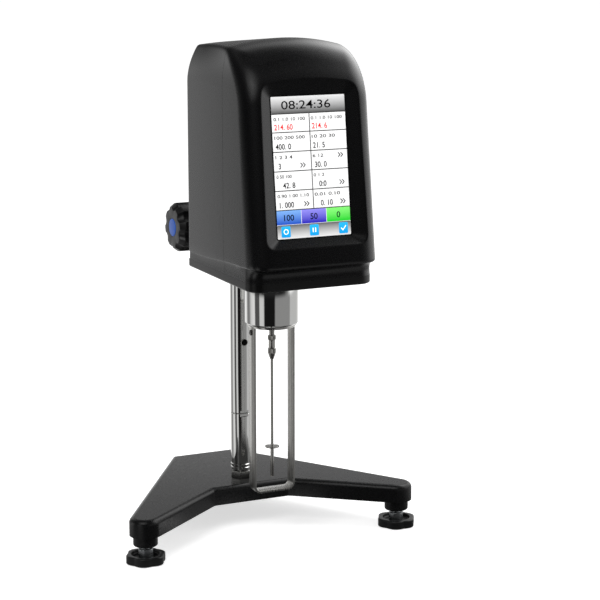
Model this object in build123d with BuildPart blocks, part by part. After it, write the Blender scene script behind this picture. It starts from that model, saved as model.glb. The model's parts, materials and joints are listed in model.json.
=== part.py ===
"""Rotational viscometer with a touch-screen head on a rack-and-pinion stand.

Frame: millimetres, +Z up, the display faces -Y. The origin lies on the surface that the three
feet stand on, under the middle of the instrument's outline.
"""

import os
from math import acos, atan2, cos, degrees, pi, radians, sin, sqrt, tan

from build123d import *

os.makedirs("parts", exist_ok=True)

# ---------------------------------------------------------------- driving dimensions
# Fits and clearances
running_fit = 0.05  # radial, shaft in bush
slip_fit = 0.15  # radial, loose bore over a shank
air_gap = 0.3  # between pieces that pass each other

# Layout in plan: reaches run back from the measuring axis, leads run forward from it
axis_y = -32.0
column_reach = 69.3
foot_lead = 4.7
foot_x = 121.0  # front feet, each side of the middle
column_y = axis_y + column_reach
foot_y = axis_y - foot_lead

# Base casting
base_bottom = 24.8
base_height = 16.0
base_rear_reach = 160.2
base_rear_half = 31.5
rear_foot_inset = 18.2
base_inner_reach = 44.5
base_inner_half = 36.3
leg_end_r = 13.7
base_edge_r = 4.5
base_rim = 6.0
base_skin = 5.0
rib_width = 5.0
boss_r = 10.6
boss_drop = 9.3  # bosses below the casting's rim
boss_edge_r = 1.5
pillar_r = 17.0
base_top = base_bottom + base_height
boss_bottom = base_bottom - boss_drop
base_rear_y = axis_y + base_rear_reach
base_inner_y = axis_y + base_inner_reach
rear_foot_y = base_rear_y - rear_foot_inset

# Levelling feet
stud_r = 4.0
stud_engagement = 17.5  # stud inside its boss
stud_bore_spare = 1.0
foot_travel_up = 2.3
knob_r = 17.4
knob_core_r = 14.6
knob_lobe_r = 5.2
knob_lobes = 6
knob_height = 8.0
knob_dish_r = 12.3
knob_dish_depth = 3.0
knob_edge_r = 1.0
pad_r = 11.0
pad_depth = 1.8
pad_proud = 0.6
hub_r = 6.4
hub_gap = 0.2  # hub under the boss with the foot screwed right in
stud_top = boss_bottom + stud_engagement
hub_top = boss_bottom - foot_travel_up - hub_gap

# Column
column_r = 9.25
column_top = 425.0
hex_across = 14.6
hex_height = 8.0
hex_chamfer = 0.6
lower_column_length = 63.6  # from the base to the waist
waist_height = 8.0
waist_r = 7.4
waist_chamfer = 1.6
waist_flat = 0.6  # depth of the two wrench flats
spigot_r = 5.0
spigot_length = 14.0
ring_groove_rise = 2.0  # above the hexagon
ring_groove = 0.7
cross_hole_r = 2.75
cross_hole_rise = 55.8  # above the waist
cross_hole_depth = 12.0
cap_rim = 1.0
cap_thick = 4.0
cap_edge_r = 2.0
tie_r = 4.0
tie_nut_across = 13.0
tie_nut_height = 6.0
tie_washer_r = 10.0
tie_washer = 1.5
tie_washer_play = 1.0
tie_low = base_bottom - 1.0 + tie_washer
hex_top = base_top + hex_height
ring_groove_z = hex_top + ring_groove_rise
waist_low = base_top + lower_column_length
waist_high = waist_low + waist_height
waist_middle = (waist_low + waist_high) / 2
cross_hole_z = waist_high + cross_hole_rise

# Height of the head at rest: the edge of its shell. What the head carries hangs from it.
shell_bottom = 262.0

# Rack and pinion
module = 1.0
pressure_angle = radians(20)
pinion_teeth = 18
backlash = 0.3
rack_width = 6.0
rack_pitch_offset = 7.7  # pitch line behind the column's axis
rack_back_offset = 3.5
rack_low = 205.0
rack_high = 375.0
pinion_width = 5.0
pinion_side_play = 1.5
pinion_rise = 10.5  # above the shell's edge
pinion_shaft_r = 4.0
pinion_z = shell_bottom + pinion_rise

# Slide block on the column
block_half = 26.0
block_below = 26.5  # below and above the pinion's axis
block_above = 27.5
block_tail = 15.0  # block behind the pinion's axis
block_corner_r = 2.0
bush_wall = 1.8
bush_length = 13.0
cover_thick = 3.0
cover_corner_r = 4.0
cover_chamfer = 0.8
cover_screw_inset = 6.0
cover_screw_r = 2.8
cover_screw_height = 1.8
tooth_play = 2.0  # round the pinion's teeth
block_low = pinion_z - block_below
block_high = pinion_z + block_above

# Lift knob
lift_knob_r = 21.8
lift_knob_depth = 19.0
lift_knob_face_x = -57.4
lift_knob_scallops = 8
lift_knob_slope = 6.2  # length of the sloping face
lift_knob_bevel = 2.0
lift_knob_bore = 12.0
scallop_r = 7.0
scallop_bite = 2.66  # depth of the scallops in the rim
lift_cap_r = 7.8
lift_cap_rim = 2.0  # flat round the cap
lift_cap_thick = 2.0
lift_cap_proud = 0.4

# Display
screen_lead = 79.5
screen_rise = 81.3  # middle of the display above the shell's edge
screen_lean = 7.1
screen_half_w = 33.0
screen_half_h = 57.4
screen_y = axis_y - screen_lead
screen_z = shell_bottom + screen_rise

# Head housing
head_half = 57.4
head_rear_reach = 53.0
head_front_lead = 96.0  # at the shell's lower edge
head_crest = 34.3  # rear edge of the top above the display
head_top_rise = 0.155  # slope of the top towards the front
head_lean = 0.136  # slope of the front face
head_brow_r = 46.0
head_edge_r = 20.0
head_rear_draw = 2.0  # the sides come in by this much at the back
wall = 3.0
parting_lead = 28.0
cove_height = 12.0
cove_inset = 1.5
skirt_thick = 7.0
skirt_step = 1.2  # skirt inside the shell at each side
skirt_rear_draw = 1.2
skirt_front_lead = 86.0
skirt_corner_r = 13.4
skirt_edge_r = 1.5
skirt_screw_r = 3.0
skirt_screw_height = 1.6
skirt_screw_inset = 12.0
skirt_screw_front_inset = 16.0
skirt_half = head_half - skirt_step
head_rear_y = axis_y + head_rear_reach
head_front_y = axis_y - head_front_lead
head_rear_top = screen_z + screen_half_h + head_crest
parting_y = axis_y - parting_lead
cove_bottom = shell_bottom - cove_height
skirt_bottom = cove_bottom - skirt_thick
skirt_front_y = axis_y - skirt_front_lead

# Display recess
screen_corner_r = 1.5
recess_half_w = 45.0
recess_low = 67.0
recess_high = 72.5
recess_crown = 2.5
recess_corner_low = 8.0
recess_corner_high = 14.0
recess_depth = 7.5
recess_cut_spare = 6.0
floor_margin = 1.2
floor_thick = 3.5
window_play = 0.8
glass_inset = 0.4
panel_margin = 4.0
panel_thick = 5.0
panel_corner_r = 1.0

# Measuring axis
cup_r = 23.3
cup_wall = 3.0
cup_height = 45.5
cup_step_r = 20.8
cup_step = 1.5
cup_chamfer = 2.0
collar_r = 17.4
collar_height = 10.0
collar_chamfer = 0.8
shaft_r = 2.35
shaft_hold = 9.0  # coupling below the shaft's end
bearing_r = 8.0
bearing_height = 5.0
spindle_bush_r = 5.0
coupling_gap = 0.5
coupling_length = 21.2
coupling_r = 3.0
coupling_band_r = 3.55
coupling_band = 3.8
coupling_band_rise = 5.6  # lower band above the coupling's tip
coupling_edge = 0.4
rod_r = 1.22
rod_length = 78.5  # coupling to the middle of the disc
disc_r = 6.35
disc_thick = 1.7
tail_r = 1.58
tail_length = 27.3
cup_bottom = skirt_bottom - cup_height
collar_bottom = cup_bottom - collar_height
coupling_top = collar_bottom - coupling_gap
coupling_low = coupling_top - coupling_length
disc_z = coupling_low - rod_length
spindle_end = disc_z - tail_length

# Spindle guard
guard_width = 11.4
guard_thick = 2.0
guard_clear = 12.6  # below the spindle's end
guard_overlap = 8.5  # beside the collar
guard_corner_r = 6.5
guard_screw_rise = 3.5
guard_screw_head_r = 2.6
guard_screw_height = 1.4
guard_half = collar_r + guard_thick
guard_low = spindle_end - guard_clear
guard_top = collar_bottom + guard_overlap
guard_screw_z = collar_bottom + guard_screw_rise

# Rear connections
inlet_x = 34.0
inlet_rise = 36.0  # above the slide block
inlet_w = 28.0
inlet_h = 20.0
inlet_depth = 16.0
inlet_rim = 2.0
inlet_corner_r = 2.0
inlet_floor = 3.0
flange_lip = 1.5
flange_thick = 1.6
pin_pitch = 7.0
pin_drop = 1.5
pin_rise = 2.0
pin_w = 2.0
pin_h = 4.0
pin_length = 9.0
switch_x = -34.0
switch_w = 13.0
switch_h = 19.5
switch_depth = 14.0
switch_rim_w = 1.5
switch_rim_h = 1.25
switch_floor = 3.4
rocker_sink = 1.0  # pivot inside the head's back
rocker_r = 7.4
rocker_tilt = 8.0
rocker_back = 4.0
rocker_tail = 3.0
rocker_lip = 2.2
rocker_crown = 3.0
port_rise = 48.0
port_w = 12.4
port_h = 11.4
port_depth = 12.0
port_proud = 0.6
port_rim = 1.5
port_floor = 3.6
probe_r = 6.0
probe_lip = 1.6
probe_collar = 2.4
probe_wall = 2.2
inlet_z = block_high + inlet_rise
port_z = inlet_z + port_rise

# Bolts between the head and the slide block
bolt_r = 2.0
bolt_depth = 6.0
bolt_head = 1.8  # head's radius in bolt radii
bolt_inset = 7.0
bolt_grid_x = 2 * (block_half - bolt_inset)
bolt_grid_z = 22.0
bolt_z = (shell_bottom + wall + block_high) / 2


def save(builder: BuildPart, name: str) -> None:
    """Label one finished piece and write its STEP file.

    Args:
        builder: The builder that holds the piece.
        name: The piece's name, also the file's name.
    """
    builder.part.label = name
    export_step(builder.part, f"parts/{name}.step")


def tangent_point(px: float, py: float, cx: float, cy: float, r: float, side: int) -> tuple:
    """Find where a line from a point touches a circle.

    Args:
        px, py: The point outside the circle.
        cx, cy, r: The circle.
        side: +1 or -1, which of the two tangents.

    Returns:
        The touching point.
    """
    away = atan2(py - cy, px - cx)
    swing = acos(r / sqrt((px - cx) ** 2 + (py - cy) ** 2))
    return (cx + r * cos(away + side * swing), cy + r * sin(away + side * swing))


def hexagon(across: float) -> None:
    """Draw a hexagon by its width across flats in the open sketch."""
    RegularPolygon(radius=across / 2, side_count=6, major_radius=False)


# ---------------------------------------------------------------- base casting
outer_touch = tangent_point(base_rear_half, base_rear_y, foot_x, foot_y, leg_end_r, -1)
inner_touch = tangent_point(base_inner_half, base_inner_y, foot_x, foot_y, leg_end_r, 1)
toe_angle = (atan2(outer_touch[1] - foot_y, outer_touch[0] - foot_x)
             + atan2(inner_touch[1] - foot_y, inner_touch[0] - foot_x)) / 2
toe = (foot_x + leg_end_r * cos(toe_angle), foot_y + leg_end_r * sin(toe_angle))
feet = [(-foot_x, foot_y), (foot_x, foot_y), (0, rear_foot_y)]

with BuildPart() as base:
    with BuildSketch(Plane.XY.offset(base_bottom)) as plan:
        with BuildLine():
            Line((0, base_rear_y), (base_rear_half, base_rear_y))
            Line((base_rear_half, base_rear_y), outer_touch)
            ThreePointArc(outer_touch, toe, inner_touch)
            Line(inner_touch, (base_inner_half, base_inner_y))
            Line((base_inner_half, base_inner_y), (0, base_inner_y))
            mirror(about=Plane.YZ)
        make_face()
    extrude(amount=base_top - base_bottom)
    fillet(base.edges().group_by(Axis.Z)[-1], base_edge_r)
    # hollow underside inside a rim
    with BuildSketch(Plane.XY.offset(base_bottom)):
        add(plan.sketch.moved(Location((0, 0, -base_bottom))))
        offset(amount=-base_rim, kind=Kind.INTERSECTION, mode=Mode.REPLACE)
    extrude(amount=base_top - base_bottom - base_skin, mode=Mode.SUBTRACT)
    # ribs from the column's pillar to the three feet
    with BuildSketch(Plane.XY.offset(base_bottom)):
        for x, y in feet:
            run = sqrt(x**2 + (y - column_y) ** 2)
            turn = degrees(atan2(y - column_y, x))
            with Locations(Location((x / 2, (y + column_y) / 2, 0), (0, 0, turn))):
                Rectangle(run, rib_width)
    extrude(amount=base_top - base_bottom - base_skin)
    with BuildSketch(Plane.XY.offset(base_bottom)):
        with Locations((0, column_y)):
            Circle(pillar_r)
    extrude(amount=base_top - base_bottom - base_skin)
    # foot bosses with blind bores
    with BuildSketch(Plane.XY.offset(boss_bottom)):
        with Locations(*feet):
            Circle(boss_r)
    extrude(amount=base_top - base_skin - boss_bottom)
    fillet(base.edges().group_by(Axis.Z)[0], boss_edge_r)
    with BuildSketch(Plane.XY.offset(boss_bottom)):
        with Locations(*feet):
            Circle(stud_r + running_fit)
    extrude(amount=stud_engagement + foot_travel_up + stud_bore_spare, mode=Mode.SUBTRACT)
    # bore for the column's tie stud, counterbored for its washer and nut
    with BuildSketch(Plane.XY.offset(base_bottom)):
        with Locations((0, column_y)):
            Circle(tie_r)
    extrude(amount=base_top - base_bottom, mode=Mode.SUBTRACT)
    with BuildSketch(Plane.XY.offset(base_bottom)):
        with Locations((0, column_y)):
            Circle(tie_washer_r + tie_washer_play)
    extrude(amount=tie_nut_height, mode=Mode.SUBTRACT)
save(base, "base_casting")

# ---------------------------------------------------------------- levelling feet
foot_names = ["left", "right", "rear"]
lobe_offset = knob_r - knob_lobe_r
for foot_name, spot in zip(foot_names, feet):
    with BuildPart() as star:
        with BuildSketch(Plane.XY.offset(pad_proud)):
            with Locations(spot):
                Circle(knob_core_r)
                with PolarLocations(lobe_offset, knob_lobes):
                    Circle(knob_lobe_r)
        extrude(amount=knob_height - pad_proud)
        fillet(star.edges().group_by(Axis.Z)[-1], knob_edge_r)
        with BuildSketch(Plane.XY.offset(knob_height - knob_dish_depth)):
            with Locations(spot):
                Circle(knob_dish_r)
        extrude(amount=knob_dish_depth, mode=Mode.SUBTRACT)
        with BuildSketch(Plane.XY.offset(pad_proud)):
            with Locations(spot):
                Circle(pad_r)
        extrude(amount=pad_depth - pad_proud, mode=Mode.SUBTRACT)
        with BuildSketch(Plane.XY.offset(pad_depth)):
            with Locations(spot):
                Circle(stud_r)
        extrude(amount=knob_height, mode=Mode.SUBTRACT)
    save(star, f"star_knob_{foot_name}")

    with BuildPart() as pad:
        with BuildSketch():
            with Locations(spot):
                Circle(pad_r)
        extrude(amount=pad_depth)
        chamfer(pad.edges().group_by(Axis.Z)[0], pad_proud / 2)
    save(pad, f"foot_pad_{foot_name}")

    with BuildPart() as stud:
        with BuildSketch(Plane.XY.offset(pad_depth)):
            with Locations(spot):
                Circle(stud_r)
        extrude(amount=stud_top - pad_depth)
        chamfer(stud.edges().group_by(Axis.Z)[-1], 0.8)
        with BuildSketch(Plane.XY.offset(knob_height - knob_dish_depth)):
            with Locations(spot):
                Circle(hub_r)
        extrude(amount=hub_top - knob_height + knob_dish_depth)
    save(stud, f"foot_stud_{foot_name}")

# ---------------------------------------------------------------- column
with BuildPart() as lower_column:
    with BuildSketch(Plane.XY.offset(base_top)):
        with Locations((0, column_y)):
            hexagon(hex_across)
    extrude(amount=hex_height)
    chamfer(lower_column.edges().group_by(Axis.Z)[-1], hex_chamfer)
    with BuildSketch(Plane.YZ):
        with BuildLine():
            Polyline(
                (column_y, hex_top),
                (column_y + column_r - ring_groove, hex_top),
                (column_y + column_r, hex_top + ring_groove),
                (column_y + column_r, ring_groove_z - ring_groove),
                (column_y + column_r - ring_groove, ring_groove_z),
                (column_y + column_r - ring_groove, ring_groove_z + ring_groove),
                (column_y + column_r, ring_groove_z + 2 * ring_groove),
                (column_y + column_r, waist_low - waist_chamfer),
                (column_y + waist_r, waist_low),
                (column_y + waist_r, waist_middle),
                (column_y + spigot_r, waist_middle),
                (column_y + spigot_r, waist_high + spigot_length),
                (column_y, waist_high + spigot_length),
                close=True,
            )
        make_face()
    revolve(axis=Axis((0, column_y, 0), (0, 0, 1)))
    # wrench flats on the waist
    with BuildSketch(Plane.XY.offset(waist_middle)):
        with Locations((0, column_y)):
            Rectangle(2 * column_r, 2 * column_r)
            Rectangle(2 * column_r, 2 * (waist_r - waist_flat), mode=Mode.SUBTRACT)
            Circle(spigot_r, mode=Mode.SUBTRACT)
    extrude(amount=-(waist_height - 1) / 2, mode=Mode.SUBTRACT)
    with BuildSketch(Plane.XY.offset(tie_low)):
        with Locations((0, column_y)):
            Circle(tie_r)
    extrude(amount=base_top - tie_low)
save(lower_column, "column_lower")

with BuildPart() as upper_column:
    with BuildSketch(Plane.YZ):
        with BuildLine():
            Polyline(
                (column_y, waist_middle),
                (column_y + waist_r, waist_middle),
                (column_y + waist_r, waist_high),
                (column_y + column_r, waist_high + waist_chamfer),
                (column_y + column_r, column_top),
                (column_y, column_top),
                close=True,
            )
        make_face()
    revolve(axis=Axis((0, column_y, 0), (0, 0, 1)))
    with BuildSketch(Plane.XY.offset(waist_middle)):
        with Locations((0, column_y)):
            Circle(spigot_r)
    extrude(amount=waist_high + spigot_length - waist_middle, mode=Mode.SUBTRACT)
    # seat of the rack in the back of the column
    with BuildSketch(Plane.XY.offset(rack_low)):
        with Locations((0, column_y + rack_back_offset + column_r / 2)):
            Rectangle(rack_width, column_r)
    extrude(amount=rack_high - rack_low, mode=Mode.SUBTRACT)
    # tapped cross hole in the front of the column
    with BuildSketch(Plane.XZ.offset(-(column_y - column_r - 1))):
        with Locations((0, cross_hole_z)):
            Circle(cross_hole_r)
    extrude(amount=-(cross_hole_depth + 1), mode=Mode.SUBTRACT)
save(upper_column, "column_upper")

with BuildPart() as top_cap:
    with BuildSketch(Plane.XY.offset(column_top)):
        with Locations((0, column_y)):
            Circle(column_r + cap_rim)
    extrude(amount=cap_thick)
    fillet(top_cap.edges().group_by(Axis.Z)[-1], cap_edge_r)
save(top_cap, "column_cap")

# rack: straight-sided teeth, one centred on the pinion's height
pitch = pi * module
tooth_half = pitch / 4 - backlash / 4
tooth_tip_y = column_y + rack_pitch_offset + module
tooth_root_y = column_y + rack_pitch_offset - 1.25 * module
flank_tip = tooth_half - module * tan(pressure_angle)
flank_root = tooth_half + 1.25 * module * tan(pressure_angle)
first_tooth = -int((pinion_z - rack_low - pitch) / pitch)
last_tooth = int((rack_high - pinion_z - pitch) / pitch)
with BuildPart() as rack:
    with BuildSketch(Plane.YZ):
        with BuildLine():
            outline = [(column_y + rack_back_offset, rack_low), (tooth_root_y, rack_low)]
            for k in range(first_tooth, last_tooth + 1):
                z = pinion_z + k * pitch
                outline.append((tooth_root_y, z - flank_root))
                outline.append((tooth_tip_y, z - flank_tip))
                outline.append((tooth_tip_y, z + flank_tip))
                outline.append((tooth_root_y, z + flank_root))
            outline.append((tooth_root_y, rack_high))
            outline.append((column_y + rack_back_offset, rack_high))
            Polyline(*outline, close=True)
        make_face()
    extrude(amount=rack_width / 2, both=True)
save(rack, "rack")

with BuildPart() as tie_washer_part:
    with BuildSketch(Plane.XY.offset(base_bottom + tie_nut_height - tie_washer)):
        with Locations((0, column_y)):
            Circle(tie_washer_r)
            Circle(tie_r, mode=Mode.SUBTRACT)
    extrude(amount=tie_washer)
save(tie_washer_part, "tie_washer")

with BuildPart() as tie_nut:
    with BuildSketch(Plane.XY.offset(base_bottom - tie_washer)):
        with Locations((0, column_y)):
            hexagon(tie_nut_across)
            Circle(tie_r, mode=Mode.SUBTRACT)
    extrude(amount=tie_nut_height)
save(tie_nut, "tie_nut")

# ---------------------------------------------------------------- pinion and lift knob
pinion_y = column_y + rack_pitch_offset + pinion_teeth * module / 2


def pinion_outline() -> list:
    """Outline of the pinion: involute flanks from the base circle to the tip circle.

    Returns:
        Points (y, z) about the pinion's axis, with a tooth space towards -Y.
    """
    pitch_r = pinion_teeth * module / 2
    base_r = pitch_r * cos(pressure_angle)
    tip_r = pitch_r + module
    root_r = pitch_r - 1.25 * module
    involute_at_pitch = tan(pressure_angle) - pressure_angle
    half_tooth = pi / (2 * pinion_teeth) - backlash / (4 * pitch_r)
    points = []
    for tooth in range(pinion_teeth):
        middle = pi + (tooth + 0.5) * 2 * pi / pinion_teeth
        flank = []
        for step in range(4):
            r = base_r + (tip_r - base_r) * step / 3
            roll = sqrt((r / base_r) ** 2 - 1)
            flank.append((r, half_tooth + involute_at_pitch - (roll - atan2(roll, 1))))
        flank.insert(0, (root_r, flank[0][1]))
        for r, half in flank:
            points.append((r * cos(middle - half), r * sin(middle - half)))
        for r, half in reversed(flank):
            points.append((r * cos(middle + half), r * sin(middle + half)))
    return points


knob_back_x = lift_knob_face_x + lift_knob_depth
cover_y = pinion_y + block_tail - cover_thick
shaft_end_x = block_half - 2.0
pinion_plane = Plane(origin=(0, pinion_y, pinion_z), x_dir=(0, 1, 0), z_dir=(1, 0, 0))
with BuildPart() as pinion:
    with BuildSketch(pinion_plane.offset(-pinion_width / 2)):
        with BuildLine():
            Polyline(*pinion_outline(), close=True)
        make_face()
        Circle(pinion_shaft_r, mode=Mode.SUBTRACT)
    extrude(amount=pinion_width)
save(pinion, "pinion")

with BuildPart() as pinion_shaft:
    with BuildSketch(Plane.YZ.offset(knob_back_x - lift_knob_bore)):
        with Locations((pinion_y, pinion_z)):
            Circle(pinion_shaft_r)
    extrude(amount=shaft_end_x - knob_back_x + lift_knob_bore)
save(pinion_shaft, "pinion_shaft")

pinion_axis = Axis((0, pinion_y, pinion_z), (1, 0, 0))
with BuildPart() as lift_knob:
    with BuildSketch(Plane.XY.offset(pinion_z)):
        with BuildLine():
            Polyline(
                (lift_knob_face_x, pinion_y),
                (lift_knob_face_x, pinion_y + lift_cap_r + lift_cap_rim),
                (lift_knob_face_x + lift_knob_slope, pinion_y + lift_knob_r),
                (knob_back_x - lift_knob_bevel, pinion_y + lift_knob_r),
                (knob_back_x, pinion_y + lift_knob_r - lift_knob_bevel),
                (knob_back_x, pinion_y),
                close=True,
            )
        make_face()
    revolve(axis=pinion_axis)
    with BuildSketch(Plane.YZ.offset(lift_knob_face_x)):
        with Locations((pinion_y, pinion_z)):
            with PolarLocations(lift_knob_r + scallop_r - scallop_bite, lift_knob_scallops):
                Circle(scallop_r)
    extrude(amount=lift_knob_depth, mode=Mode.SUBTRACT)
    with BuildSketch(Plane.YZ.offset(lift_knob_face_x)):
        with Locations((pinion_y, pinion_z)):
            Circle(lift_cap_r)
    extrude(amount=lift_cap_thick - lift_cap_proud, mode=Mode.SUBTRACT)
    with BuildSketch(Plane.YZ.offset(knob_back_x)):
        with Locations((pinion_y, pinion_z)):
            Circle(pinion_shaft_r)
    extrude(amount=-lift_knob_bore, mode=Mode.SUBTRACT)
save(lift_knob, "lift_knob")

with BuildPart() as lift_cap:
    with BuildSketch(Plane.YZ.offset(lift_knob_face_x - lift_cap_proud)):
        with Locations((pinion_y, pinion_z)):
            Circle(lift_cap_r)
    extrude(amount=lift_cap_thick)
    fillet(lift_cap.edges().group_by(Axis.X)[0], 0.3)
save(lift_cap, "lift_knob_cap")

# ---------------------------------------------------------------- slide block
bore_r = column_r + running_fit + bush_wall
with BuildPart() as block:
    with BuildSketch(Plane.XY.offset(block_low)):
        with Locations((0, (head_rear_y + cover_y) / 2)):
            RectangleRounded(2 * block_half, cover_y - head_rear_y, block_corner_r)
    extrude(amount=block_high - block_low)
    with BuildSketch(Plane.XY.offset(block_low)):
        with Locations((0, column_y)):
            Circle(bore_r)
    extrude(amount=block_high - block_low, mode=Mode.SUBTRACT)
    # window for the pinion, open to the bore and to the back
    window_half_z = pinion_teeth * module / 2 + module + tooth_play
    with BuildSketch(Plane.YZ.offset(-pinion_width / 2 - pinion_side_play)):
        with Locations(((column_y + cover_y) / 2, pinion_z)):
            Rectangle(cover_y - column_y, 2 * window_half_z)
    extrude(amount=pinion_width + 2 * pinion_side_play, mode=Mode.SUBTRACT)
    # seats of the pinion shaft's bushes
    with BuildSketch(Plane.YZ.offset(-block_half)):
        with Locations((pinion_y, pinion_z)):
            Circle(pinion_shaft_r + running_fit + bush_wall)
    extrude(amount=2 * block_half, mode=Mode.SUBTRACT)
    # threaded holes for the bolts that carry the head
    with BuildSketch(Plane.XZ.offset(-head_rear_y)):
        with Locations((0, bolt_z)):
            with GridLocations(bolt_grid_x, bolt_grid_z, 2, 2):
                Circle(bolt_r + slip_fit)
    extrude(amount=-bolt_depth - 1.0, mode=Mode.SUBTRACT)
save(block, "slide_block")

with BuildPart() as block_cover:
    with BuildSketch(Plane.XZ.offset(-cover_y)):
        with Locations((0, (block_low + block_high) / 2)):
            RectangleRounded(2 * block_half, block_high - block_low, cover_corner_r)
    extrude(amount=-cover_thick)
    chamfer(block_cover.edges().group_by(Axis.Y)[-1], cover_chamfer)
save(block_cover, "block_cover")

with BuildPart() as cover_screws:
    with BuildSketch(Plane.XZ.offset(-cover_y - cover_thick)):
        with Locations((0, (block_low + block_high) / 2)):
            with GridLocations(2 * (block_half - cover_screw_inset),
                               block_high - block_low - 2 * cover_screw_inset, 2, 2):
                Circle(cover_screw_r)
    extrude(amount=-cover_screw_height)
    fillet(cover_screws.edges().group_by(Axis.Y)[-1], 0.8)
save(cover_screws, "cover_screws")

with BuildPart() as column_bushes:
    for bush_low in (block_low, block_high - bush_length):
        with BuildSketch(Plane.XY.offset(bush_low)):
            with Locations((0, column_y)):
                Circle(bore_r)
                Circle(column_r + running_fit, mode=Mode.SUBTRACT)
        extrude(amount=bush_length)
save(column_bushes, "column_bushes")

bush_inner_x = pinion_width / 2 + pinion_side_play
with BuildPart() as pinion_bushes:
    for bush_x in (-block_half, bush_inner_x):
        with BuildSketch(Plane.YZ.offset(bush_x)):
            with Locations((pinion_y, pinion_z)):
                Circle(pinion_shaft_r + running_fit + bush_wall)
                Circle(pinion_shaft_r + running_fit, mode=Mode.SUBTRACT)
        extrude(amount=block_half - bush_inner_x)
save(pinion_bushes, "pinion_bushes")

# ---------------------------------------------------------------- head housing
def front_at(z: float) -> float:
    """Y of the housing's front face at a height on the centre line."""
    return head_front_y + (z - shell_bottom) * head_lean


# where the sloping top and the leaning front face would meet
brow_z = (
    head_rear_top + head_top_rise * (head_rear_y - front_at(0))
) / (1 + head_top_rise * head_lean)
brow_y = front_at(brow_z)
screen_plane = Plane(
    origin=(0, screen_y, screen_z),
    x_dir=(1, 0, 0),
    z_dir=(0, -cos(radians(screen_lean)), sin(radians(screen_lean))),
)


def side_line(inset: float, side: int) -> tuple:
    """Ends of one side of the housing in plan, drawn in towards the back.

    Args:
        inset: Distance inside the outer skin.
        side: -1 for the left side, +1 for the right.

    Returns:
        The front and the rear end as (x, y).
    """
    front = (side * (head_half - inset), head_front_y + inset - 1)
    rear = (side * (head_half - head_rear_draw - inset), head_rear_y - inset)
    return front, rear


def housing_solid(inset: float) -> Part:
    """Outer form of the housing, or the same form drawn in by a wall.

    Args:
        inset: Distance inside the outer skin.

    Returns:
        The closed solid from the shell's lower edge to the domed top.
    """
    with BuildPart() as form:
        with BuildSketch(Plane.YZ):
            with BuildLine():
                Line((head_front_y + inset, shell_bottom), (head_rear_y - inset, shell_bottom))
                Line((head_rear_y - inset, shell_bottom), (head_rear_y - inset, head_rear_top - inset))
                FilletPolyline(
                    (head_rear_y - inset, head_rear_top - inset),
                    (brow_y + inset, brow_z - inset),
                    (head_front_y + inset, shell_bottom),
                    radius=head_brow_r - inset,
                )
            make_face()
        extrude(amount=head_half + inset + 1, both=True)
        with BuildSketch(Plane.XY.offset(shell_bottom)):
            Polygon(*side_line(inset, 1), *reversed(side_line(inset, -1)), align=None)
        extrude(amount=brow_z - shell_bottom, mode=Mode.INTERSECT)
        sides = form.faces().filter_by(lambda f: abs(f.normal_at().X) > 0.9)
        rounded = sides.edges().filter_by(
            lambda e: e.center().Z > shell_bottom + 1 and e.center().Y < head_rear_y - inset - 0.5
        )
        fillet(rounded, head_edge_r - inset)
    return form.part


def plan_sheet(z: float, half: float, front_y: float, corner_r: float, rear_y: float) -> Sketch:
    """Plan of the housing's foot: square at the back, round at the two front corners.

    Args:
        z: Height of the sheet.
        half: Half the width.
        front_y: Y of the front edge.
        corner_r: Radius of the front corners.
        rear_y: Y of the rear edge.

    Returns:
        The flat face at that height.
    """
    rear_half = half - skirt_rear_draw
    with BuildSketch(Plane.XY.offset(z)) as sheet:
        Polygon((-half, front_y), (half, front_y), (rear_half, rear_y), (-rear_half, rear_y), align=None)
        fillet(sheet.vertices().group_by(Axis.Y)[0], corner_r)
    return sheet.sketch


def recess_sheet(lift: float, half: float, low: float, high: float, r_low: float, r_high: float,
                 crown: float) -> Sketch:
    """Outline of the display recess at one depth, with an arched top edge.

    Args:
        lift: Distance in front of the display's plane.
        half: Half the width.
        low, high: Distances from the display's middle down and up.
        r_low, r_high: Corner radii below and above.
        crown: Rise of the arched top edge.

    Returns:
        The flat face on a plane parallel to the display.
    """
    with BuildSketch(screen_plane.offset(lift)) as sheet:
        with BuildLine():
            Line((0, -low), (half - r_low, -low))
            RadiusArc((half - r_low, -low), (half, -low + r_low), -r_low)
            Line((half, -low + r_low), (half, high - r_high))
            RadiusArc((half, high - r_high), (half - r_high, high), -r_high)
            ThreePointArc((half - r_high, high), (0, high + crown), (r_high - half, high))
            RadiusArc((r_high - half, high), (-half, high - r_high), -r_high)
            Line((-half, high - r_high), (-half, -low + r_low))
            RadiusArc((-half, -low + r_low), (r_low - half, -low), -r_low)
            Line((r_low - half, -low), (0, -low))
        make_face()
    return sheet.sketch


floor_half_w = screen_half_w + floor_margin
floor_half_h = screen_half_h + floor_margin
window_w = 2 * (screen_half_w + window_play)
window_h = 2 * (screen_half_h + window_play)
panel_w = window_w + 2 * panel_margin
panel_h = window_h + 2 * panel_margin
board_gap = 12.0
board_side = 7.4  # board beyond the display panel at each side
board_end = 1.8  # and at each end
board_thick = 1.6
post_r = 2.4
post_side = 3.5  # posts inside the board's edges
post_end = 5.0
screw_hole_r = 1.6
board_w = panel_w + 2 * board_side
board_h = panel_h + 2 * board_end
post_x = board_w / 2 - post_side
post_y = board_h / 2 - post_end
inner_rear_y = head_rear_y - wall
power_gap = 8.0
power_post_inset = 4.0
power_low = block_high + 2.0
power_high = inlet_z - inlet_h / 2 - 3.0
neck_half = skirt_half - wall
neck_front_y = skirt_front_y + wall
neck_r = skirt_corner_r - wall
outer_form = housing_solid(0)
inner_form = split(
    housing_solid(wall), bisect_by=screen_plane.offset(-floor_thick), keep=Keep.BOTTOM
)
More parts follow.
